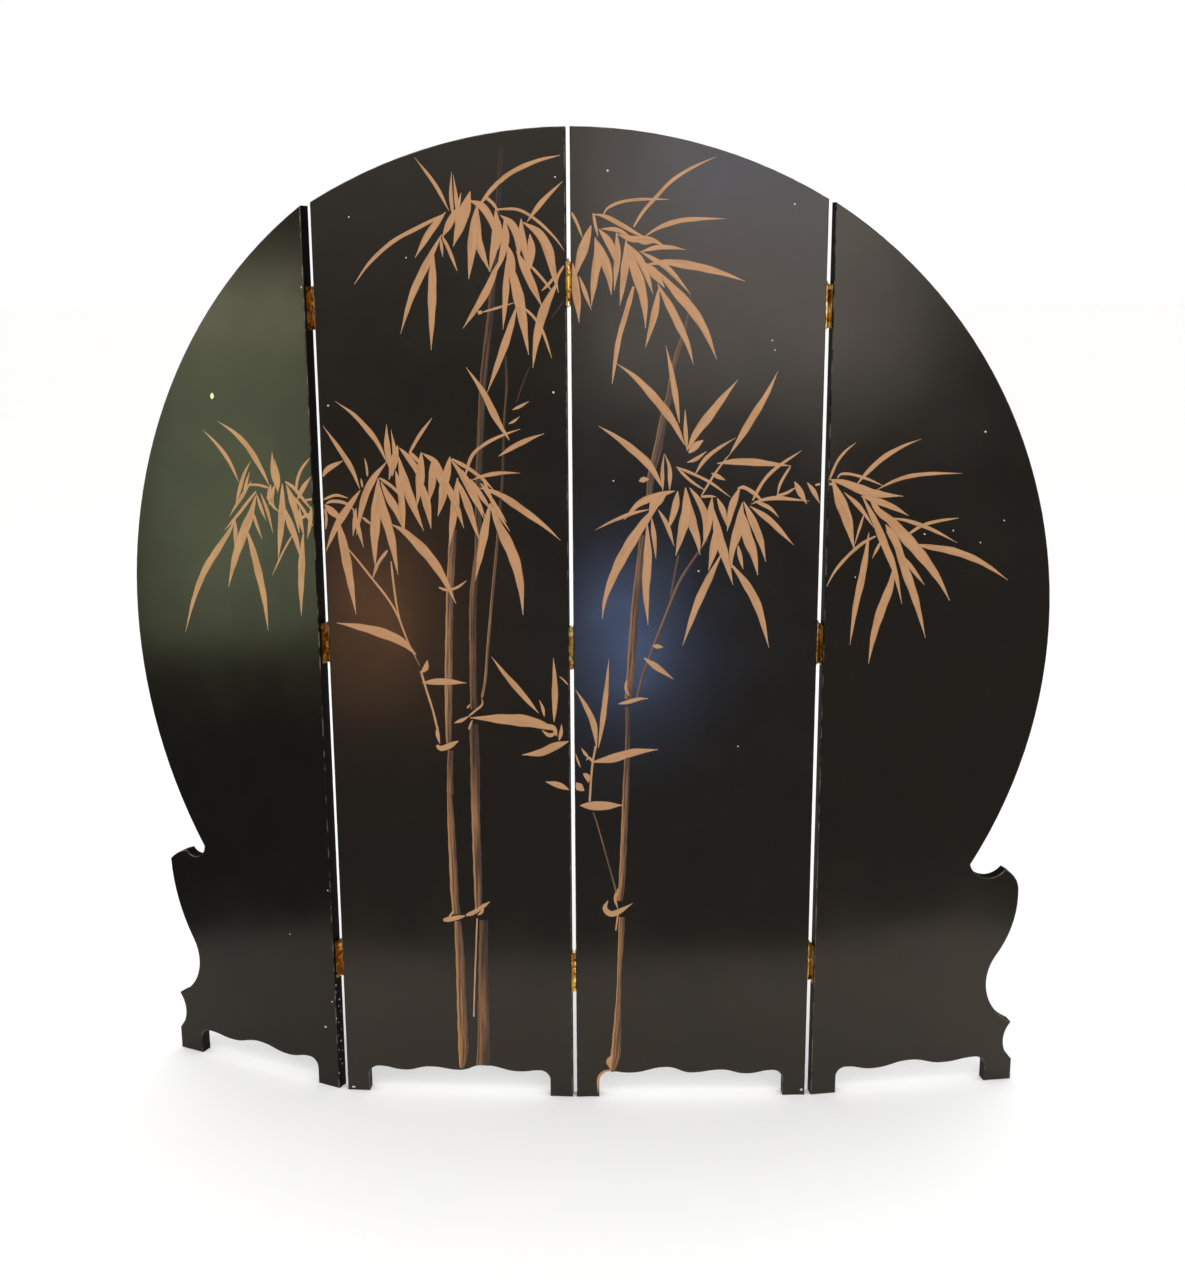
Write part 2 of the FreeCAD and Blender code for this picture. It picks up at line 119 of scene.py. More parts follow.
def separate(tree, vector):
    return addNode(tree, "SeparateXYZ", {}, {0: vector}).outputs


# Finishes a material: its colour, and where given its roughness and a relief depthMm deep.
def dress(tree, surface, colour, roughness=None, relief=None, strength=0.0, depthMm=0.1):
    tree.links.new(colour, surface.inputs["Base Color"])
    if roughness:
        tree.links.new(roughness, surface.inputs["Roughness"])
    if relief:
        bump = addNode(tree, "Bump", {"Strength": strength, "Distance": depthMm / 1000},
                       {"Height": relief})
        tree.links.new(bump.outputs[0], surface.inputs["Normal"])


# Each board as it stands: its turn about Z in degrees and the strength of its shine, then the
# joint that its own corner is measured from, with that joint's place in the board's frame, and
# its span, all in mm. Local x runs along the board and y = 0 is the painted face. The left
# board's lacquer has gone duller than the others'.
boards = {
    "outer_left_panel": {"turn": -25.3, "shine": 0.28, "joint": "left_fold",
                         "own": (4.4, 28.082), "span": (-437.3, 0.0)},
    "inner_left_panel": {"turn": -3.0, "shine": 0.5, "joint": "centre_fold",
                         "own": (4.4, -2.682), "span": (-448.5, 0.0)},
    "inner_right_panel": {"turn": 1.6, "shine": 0.5, "joint": "centre_fold",
                          "own": (-4.4, -2.682), "span": (0.0, 448.5)},
    "outer_right_panel": {"turn": 9.6, "shine": 0.5, "joint": "right_fold",
                          "own": (-4.4, 28.082), "span": (0.0, 437.3)},
}
lacquer = {
    "ground": "#080706",
    "warmGround": "#0D0A07",
    "edgeWear": "#5C5145",
    "paleRim": "#A8937A",
    "dust": "#3A352E",
    "shineTint": "#FFF0DC",
    "mottleMm": 90.0,    # width of the slow tone changes
    "hazeMm": 130.0,     # width of the clouds in the shine
    "ripplesMm": 14.0,   # orange peel left by the spray
    "rubbedMm": 26.0,    # worn stretches of the eased edges
    "paleRimPatchMm": 60.0,   # width of the stretches of the undersides' rims drawn pale beige
    "dustMm": 2.2,       # dust nibs, drawn coarser than the real 0.5 mm so that they show
    "dustPatchMm": 40.0,
    "roughness": (0.17, 0.22),
    "edgeRoughness": 0.6,
    "edgeShine": 0.1,
    # how squarely a surface looks along the board's depth: from the edge's own surface to the
    # eased edge, and from the face down to the eased edge
    "offEdge": (0.3, 0.5),
    "offFace": (0.95, 0.8),
    "underside": (-0.3, -0.6),  # how far a surface looks down where its rim is drawn pale beige
    "paleRimBelow": (0.075, 0.065),  # metres above the floor
}


# Sprayed black lacquer over board: nearly black, satin, with soft broad reflections, a faint
# orange peel and paler worn lines along the eased edges.
def blackLacquer(name, board):
    material, tree, surface = newMaterial(name, {
        "IOR": 1.5, "Specular Tint": hexToLinear(lacquer["shineTint"])})
    coordinates = addNode(tree, "TexCoord").outputs
    place, normal = coordinates["Object"], coordinates["Normal"]
    mottle = remap(tree, grainNoise(tree, place, lacquer["mottleMm"], 4), 0.35, 0.65)
    colour = mixColour(tree, mottle, lacquer["ground"], lacquer["warmGround"])
    turn = math.radians(board["turn"])
    outward = (math.sin(turn), -math.cos(turn), 0.0)
    facing = addNode(tree, "VectorMath", {"operation": "DOT_PRODUCT", 1: outward},
                     {0: normal}).outputs["Value"]
    square = addNode(tree, "Math", {"operation": "ABSOLUTE"}, {0: facing}).outputs[0]
    eased = multiply(tree, remap(tree, square, *lacquer["offFace"]),
                     remap(tree, square, *lacquer["offEdge"]))
    rubbed = remap(tree, grainNoise(tree, place, lacquer["rubbedMm"], 5, 0.65), 0.47, 0.62)
    colour = mixColour(tree, multiply(tree, eased, rubbed), colour, lacquer["edgeWear"])
    # Pale beige patches on the downward-facing rims within about 75 mm of the floor, broken up
    # by noise.
    rim = multiply(tree, remap(tree, separate(tree, normal)[2], *lacquer["underside"]),
                   remap(tree, separate(tree, place)[2], *lacquer["paleRimBelow"]))
    rimPatches = remap(tree, grainNoise(tree, place, lacquer["paleRimPatchMm"], 4, 0.6), 0.5, 0.56)
    paleRimMask = multiply(tree, multiply(tree, rim, rimPatches),
                    remap(tree, square, *lacquer["offEdge"]))
    colour = mixColour(tree, paleRimMask, colour, lacquer["paleRim"])
    nibs = remap(tree, grainNoise(tree, place, lacquer["dustMm"], 1), 0.74, 0.79)
    patches = remap(tree, grainNoise(tree, place, lacquer["dustPatchMm"], 2), 0.5, 0.62)
    colour = mixColour(tree, multiply(tree, nibs, patches), colour, lacquer["dust"])
    haze = remap(tree, grainNoise(tree, place, lacquer["hazeMm"], 3), 0.35, 0.65,
                 *lacquer["roughness"])
    edge = remap(tree, square, *lacquer["offEdge"], lacquer["edgeRoughness"], 0.0)
    sheen = addNode(tree, "Math", {"operation": "MAXIMUM"}, {0: haze, 1: edge}).outputs[0]
    shine = remap(tree, square, *lacquer["offEdge"], lacquer["edgeShine"], board["shine"])
    tree.links.new(shine, surface.inputs["Specular IOR Level"])
    ripples = grainNoise(tree, place, lacquer["ripplesMm"], 2, 0.4)
    dress(tree, surface, colour, sheen, ripples, 0.05, 0.4)
    return material


brass = {
    "bright": "#E2B24C",
    "aged": "#B06C28",
    "tarnish": "#3E2612",
    "rubbed": "#F7E3A6",
    "screwHead": "#C79A4A",
    "tarnishMm": 7.0,
    "rubbedMm": 9.0,
    "cloudMm": 34.0,
    "brushMm": 1.05,     # brushing, drawn coarser than the real grit so that it shows
    "brushSpread": 0.04,  # share by which it is finer up the hinge than across it
}


# Stamped sheet brass, long handled: bright where it is rubbed, brown where it has tarnished.
def agedBrass(name, bright, tarnishShare):
    material, tree, surface = newMaterial(name, {"Metallic": 1.0})
    place = addNode(tree, "TexCoord").outputs["Object"]
    patches = grainNoise(tree, place, brass["tarnishMm"], 5, 0.6)
    cloudy = remap(tree, grainNoise(tree, place, brass["cloudMm"], 2), 0.38, 0.62)
    colour = mixColour(tree, cloudy, bright, brass["aged"])
    dull = remap(tree, patches, 0.62 - tarnishShare, 0.78 - tarnishShare)
    colour = mixColour(tree, dull, colour, brass["tarnish"])
    shiny = remap(tree, grainNoise(tree, place, brass["rubbedMm"], 3), 0.53, 0.6)
    colour = mixColour(tree, shiny, colour, brass["rubbed"])
    drawn = addNode(tree, "Mapping", {"Scale": (1.0, 1.0, brass["brushSpread"])},
                    {"Vector": place}).outputs[0]
    brushing = grainNoise(tree, drawn, brass["brushMm"], 2)
    dress(tree, surface, colour, remap(tree, patches, 0.35, 0.7, 0.24, 0.5), brushing, 0.2)
    return material


finishes = {name: blackLacquer("blackLacquer_" + name, board) for name, board in boards.items()}
leafBrass = agedBrass("agedBrassLeaf", brass["bright"], 0.11)
pinBrass = agedBrass("agedBrassPin", brass["bright"], 0.0)
screwBrass = agedBrass("agedBrassScrew", brass["screwHead"], 0.08)
for name, node in nodes.items():
    if name in finishes:
        finish = finishes[name]
    elif name.endswith("_leaf"):
        finish = leafBrass
    elif name.endswith("_pin"):
        finish = pinBrass
    else:
        finish = screwBrass
    for materialSlot in node.material_slots:
        materialSlot.material = finish
print("lacquer and brass on the CAD nodes")

gilding = {
    "gold": "#AF835B",
    "deepGold": "#94693E",
    "darkRim": "#8A6240",
    "thinTip": "#A98C70",
    "washBright": "#B07A46",
    "washDark": "#46301F",
    "leafBristleMm": 2.7,  # noise that draws bristle marks 0.9 mm wide, for a leaf and a wash
    "washBristleMm": 3.6,
    "leafSpread": 0.05,    # share that stretches these marks along the stroke
    "washSpread": 0.03,
    "poolMm": 22.0,        # where the gold lies thicker
    "strokeRise": 0.16,    # mm that a stroke's middle stands above the lacquer
    "culmRise": 0.08,      # the same for the thin wash of a culm
    "layerRise": 0.012,    # mm by which each stroke lies higher than the last
    "layers": 16,
    "sunk": 0.1,           # mm that every stroke reaches into the board
    "thinnest": 0.35,      # mm, half the width of the thinnest line
    "waver": 0.05,         # share of its width by which a stroke swells and shrinks
    "waverMm": 7.0,
    "strokeStep": 5.0,     # mm between the sections of a leaf, and of a culm
    "culmStep": 12.0,
    "sharpAngle": 50,
}


# Where a point lies in its stroke: from edge to edge, from root to tip, in metres of the brush's
# way, and the same drawn out along the stroke by spread.
def strokePlaces(tree, spread):
    along, brush = (addNode(tree, "UVMap", {"uv_map": name}).outputs["UV"]
                    for name in ("stroke", "brush"))
    drawn = addNode(tree, "Mapping", {"Scale": (1.0, spread, 1.0)}, {"Vector": brush})
    across, length = separate(tree, along)[:2]
    return across, length, brush, drawn.outputs[0]


# Bronze-powder gold in lacquer, laid leaf by leaf with a loaded brush: tan gold with fine
# bristle streaks, a darker rim where it runs thin, and thinner tips.
def goldLeafPaint():
    material, tree, surface = newMaterial("bronzePowderGold", {"Metallic": 0.15,
                                                               "Specular IOR Level": 0.4})
    across, length, brush, drawn = strokePlaces(tree, gilding["leafSpread"])
    offset = addNode(tree, "Math", {"operation": "SUBTRACT", 1: 0.5}, {0: across}).outputs[0]
    side = addNode(tree, "Math", {"operation": "ABSOLUTE"}, {0: offset}).outputs[0]
    streaks = grainNoise(tree, drawn, gilding["leafBristleMm"], 3, 0.6)
    pools = remap(tree, grainNoise(tree, brush, gilding["poolMm"], 2), 0.35, 0.7, 0.6, 0.0)
    tone = mixColour(tree, remap(tree, streaks, 0.4, 0.75), gilding["gold"],
                     gilding["deepGold"])
    tone = mixColour(tree, pools, tone, gilding["gold"])
    tone = mixColour(tree, remap(tree, side, 0.4, 0.49, 0.0, 0.6), tone, gilding["darkRim"])
    tone = mixColour(tree, remap(tree, length, 0.86, 1.0, 0.0, 0.8), tone, gilding["thinTip"])
    dress(tree, surface, tone, remap(tree, streaks, 0.3, 0.7, 0.42, 0.6), streaks, 0.25)
    return material


# The same gold let down to a wash for the culms: the black shows through between bristle
# streaks, and one edge is drawn brighter than the other.
def goldWash():
    material, tree, surface = newMaterial("thinGoldWash", {"Specular IOR Level": 0.4})
    across, length, brush, drawn = strokePlaces(tree, gilding["washSpread"])
    cover = addNode(tree, "Attribute", {"attribute_name": "cover"}).outputs["Fac"]
    streaks = grainNoise(tree, drawn, gilding["washBristleMm"], 4, 0.6)
    tone = mixColour(tree, remap(tree, streaks, 0.42, 0.66), gilding["washDark"],
                     gilding["washBright"])
    tone = mixColour(tree, remap(tree, across, 0.3, 0.14, 0.0, 0.9), tone,
                     gilding["washBright"])
    tone = mixColour(tree, remap(tree, across, 0.6, 0.9, 0.0, 0.75), tone,
                     gilding["washDark"])
    tone = mixColour(tree, cover, lacquer["warmGround"], tone)
    dress(tree, surface, tone, remap(tree, cover, 0.1, 0.9, 0.32, 0.55), streaks, 0.2)
    return material


# A speck that crumbles between two tones: bare filler in a chip, or a dried drip of wall paint.
def speck(name, dark, light, crumbMm=1.2):
    material, tree, surface = newMaterial(name, {"Specular IOR Level": 0.3, "Roughness": 0.8})
    place = addNode(tree, "TexCoord").outputs["Object"]
    crumbs = remap(tree, grainNoise(tree, place, crumbMm, 3), 0.35, 0.65)
    dress(tree, surface, mixColour(tree, crumbs, dark, light))
    return material


paints = {"leaf": goldLeafPaint(), "wash": goldWash(),
          "chip": speck("chippedPrimer", "#8E8A84", "#D5D0C6"),
          "drip": speck("wallPaintDrip", "#C9D488", "#E4ECA4")}
edgeClear = 1.8  # mm of eased edge that no paint runs over


# Matrix from a board's own millimetres, (along, depth, height), to the scene's metres.
def boardMatrix(board):
    seat = boards[board]
    axis = joints[seat["joint"]]["pos_m"]
    turn = Matrix.Rotation(math.radians(seat["turn"]), 4, "Z")
    start = Matrix.Translation((axis[0], axis[1], 0.0))
    back = Matrix.Translation((-seat["own"][0], -seat["own"][1], 0.0))
    return start @ turn @ Matrix.Scale(0.001, 4) @ back


# Adds an object to the scene: a light, a camera or a mesh by its data.
def addObject(name, data):
    thing = bpy.data.objects.new(name, data)
    bpy.context.scene.collection.objects.link(thing)
    return thing


# Adds a finished mesh to the scene as an object of one material.
def addMesh(name, mesh, material):
    data = bpy.data.meshes.new(name)
    mesh.to_mesh(data)
    mesh.free()
    data.materials.append(material)
    return addObject(name, data)


# Turns a mesh drawn in a board's own millimetres into a painted piece that rides on the board.
def addPiece(name, board, mesh, paint):
    bmesh.ops.recalc_face_normals(mesh, faces=mesh.faces)
    mesh.transform(boardMatrix(board))
    piece = addMesh(name, mesh, paints[paint])
    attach(piece, board)
    return piece


# Corners of each face of a closed body through the given rings: the bands, then both ends.
def tubeFaces(rings):
    faces = []
    for first, second in zip(rings, rings[1:]):
        faces += zip(first, first[1:] + first[:1], second[1:] + second[:1], second)
    return [*faces, tuple(reversed(rings[0])), tuple(rings[-1])]


# Points of a smooth line through the given ones, about step apart, with every value carried on.
def smoothLine(points, step):
    padded = [[2 * a - b for a, b in zip(points[0], points[1])], *points,
              [2 * a - b for a, b in zip(points[-1], points[-2])]]
    line = []
    for before, start, end, after in zip(padded, padded[1:], padded[2:], padded[3:]):
        count = max(2, round(math.dist(start[:2], end[:2]) / step))
        for index in range(count):
            t = index / count
            line.append([0.5 * (2 * s + (e - b) * t + (2 * b - 5 * s + 4 * e - a) * t**2
                                + (3 * s - b - 3 * e + a) * t**3)
                         for b, s, e, a in zip(before, start, end, after)])
    line.append(list(points[-1]))
    return line


# Width of a leaf along its length: a short swelling neck, a full belly and a long drawn tip.
def leafShare(t):
    swell = math.sin(math.pi / 2 * min(1.0, (t + 0.03) / 0.45)) ** 1.05
    taper = math.cos(math.pi / 2 * max(0.0, (t - 0.4) / 0.6))
    return max(0.07, 0.96 * swell * taper)


# Width of a thin arching stroke, nearly even with a drawn-out tip.
def arcShare(t):
    swell = min(1.0, 0.45 + t / 0.3)
    taper = math.cos(math.pi / 2 * max(0.0, (t - 0.55) / 0.45)) ** 0.8
    return max(0.15, swell * taper)


# A stem keeps its width.
def stemShare(t):
    return 1.0


shares = {"leaf": leafShare, "arc": arcShare, "stem": stemShare}
# the stroke's section: places across it, and their share of its rise
section = ((-1.0, 0.12), (-0.72, 0.8), (0.0, 1.0), (0.72, 0.8), (1.0, 0.12))


# Adds one closed, slightly crowned brush stroke to a mesh being made.
def addStroke(mesh, layers, isCulm, stroke, limits, layer, seed):
    kind, width, points = (None, None, stroke) if isCulm else stroke
    line = smoothLine(points, gilding["culmStep" if isCulm else "strokeStep"])
    lengths = [0.0]
    for first, second in zip(line, line[1:]):
        lengths.append(lengths[-1] + math.dist(first[:2], second[:2]))
    shake = random.Random(seed)
    shift = (shake.uniform(0, 40), shake.uniform(0, 40))
    phase = shake.uniform(0, 6.28)
    lift = gilding["layerRise"] * (layer % gilding["layers"] + 1)
    rise = gilding["culmRise" if isCulm else "strokeRise"]
    outline = [(place, -(lift + rise * share)) for place, share in section]
    outline += [(1.0, gilding["sunk"]), (-1.0, gilding["sunk"])]
    rings = []
    for index, spot in enumerate(line):
        before = line[max(0, index - 1)]
        after = line[min(len(line) - 1, index + 1)]
        heading = Vector((after[0] - before[0], after[1] - before[1])).normalized()
        side = Vector((heading.y, -heading.x))
        if side.x < 0 and isCulm:
            side = -side
        run = lengths[index]
        t = run / lengths[-1]
        full, cover = spot[2:] if isCulm else (width * shares[kind](t), 1.0)
        waver = 1 + gilding["waver"] * math.sin(phase + run / gilding["waverMm"])
        half = max(gilding["thinnest"], full / 2 * waver)
        ring = []
        for place, depth in outline:
            x = min(max(spot[0] + side.x * half * place, limits[0]), limits[1])
            z = spot[1] + side.y * half * place
            vertex = mesh.verts.new((x, depth, z))
            ring.append((vertex, (place + 1) / 2, t, place * half, run, cover))
        rings.append(ring)
    strokeMap, brushMap, coverLayer = layers
    for corners in tubeFaces(rings):
        face = mesh.faces.new([corner[0] for corner in corners])
        face.smooth = True
        for loop, (vertex, across, t, offset, run, cover) in zip(face.loops, corners):
            loop[strokeMap].uv = (across, t)
            loop[brushMap].uv = ((offset + shift[0]) / 1000, (run + shift[1]) / 1000)
            vertex[coverLayer] = min(1.0, max(0.0, cover))


# Makes one painted cluster on a board. The culms' wash starts two layers lower.
def paintCluster(name, board, isCulm, strokes):
    mesh = bmesh.new()
    layers = (mesh.loops.layers.uv.new("stroke"), mesh.loops.layers.uv.new("brush"),
              mesh.verts.layers.float.new("cover"))
    low, high = boards[board]["span"]
    limits = (low + edgeClear, high - edgeClear)
    paint, firstLayer = ("wash", 0) if isCulm else ("leaf", 2)
    for index, stroke in enumerate(strokes):
        addStroke(mesh, layers, isCulm, stroke, limits, firstLayer + index, f"{name}{index}")
    piece = addPiece(name, board, mesh, paint)
    piece.data.set_sharp_from_angle(angle=math.radians(gilding["sharpAngle"]))


# Strokes in the board's millimetres, each (kind, greatest width, points from root to tip). A
# culm is its points alone, (x, z, width, cover), from the top down.
outerLeftBamboo = {"crown": [
    ("leaf", 9, ((-167, 1205), (-187, 1243), (-213, 1273), (-246, 1300))),
    ("leaf", 13, ((-97, 1202), (-110, 1227), (-140, 1270), (-173, 1298), (-209, 1317))),
    ("leaf", 9, ((-177, 1165), (-167, 1190), (-153, 1222), (-137, 1246))),
    ("leaf", 7, ((-158, 1184), (-150, 1204), (-141, 1226))),
    ("leaf", 8, ((-138, 1209), (-160, 1181), (-180, 1157), (-194, 1138))),
    ("arc", 5, ((-97, 1198), (-120, 1202), (-143, 1201), (-158, 1192))),
    ("arc", 6, ((-128, 1190), (-150, 1168), (-173, 1144), (-207, 1112))),
    ("leaf", 15, ((-177, 1143), (-193, 1115), (-227, 1073), (-263, 1027), (-293, 970),
                  (-318, 904))),
    ("leaf", 21, ((-129, 1182), (-143, 1147), (-163, 1110), (-187, 1058), (-206, 1002))),
    ("leaf", 18, ((-158, 1124), (-144, 1082), (-131, 1030), (-122, 985), (-117, 926))),
    ("leaf", 10, ((-181, 1134), (-182, 1107), (-186, 1083))),
    ("leaf", 8, ((-140, 1157), (-131, 1128), (-120, 1101))),
    ("leaf", 8, ((-128, 1186), (-118, 1158), (-108, 1136))),
    ("leaf", 8, ((-118, 1188), (-104, 1154), (-94, 1114))),
    ("arc", 6, ((-104, 1182), (-90, 1164), (-78, 1155))),
    ("leaf", 14, ((-80, 1196), (-86, 1232), (-87, 1265))),
    ("leaf", 8, ((-79, 1190), (-75, 1218), (-82, 1252))),
    ("leaf", 10, ((-93, 1205), (-98, 1188), (-99, 1166))),
    ("leaf", 9, ((-84, 1205), (-92, 1184), (-88, 1166))),
    ("leaf", 17, ((-67, 1208), (-70, 1163), (-76, 1120), (-85, 1066))),
    ("leaf", 16, ((-58, 1207), (-47, 1180), (-38, 1150), (-34, 1118))),
    ("leaf", 16, ((-67, 1168), (-54, 1134), (-41, 1103), (-34, 1071))),
    ("arc", 7, ((-60, 1212), (-42, 1202), (-20, 1180), (-2, 1162))),
    ("arc", 7, ((-42, 1185), (-23, 1163), (-5, 1138), (-1, 1132))),
    ("arc", 6, ((-37, 1192), (-32, 1218), (-20, 1240), (-1, 1259))),
    ("leaf", 10, ((-36, 1178), (-20, 1203), (-1, 1225))),
    ("stem", 4, ((-17, 1180), (-1, 1183))),
    ("leaf", 10, ((-31, 1166), (-29, 1140), (-23, 1112))),
    ("leaf", 10, ((-4, 1170), (-8, 1140), (-16, 1109))),
    ("arc", 6, ((-28, 1146), (-14, 1153), (-2, 1156))),
    ("arc", 4, ((-47, 1117), (-73, 1080), (-101, 1033))),
    ("leaf", 16, ((-25, 1118), (-29, 1085), (-33, 1045), (-36, 1010), (-38, 961))),
]}
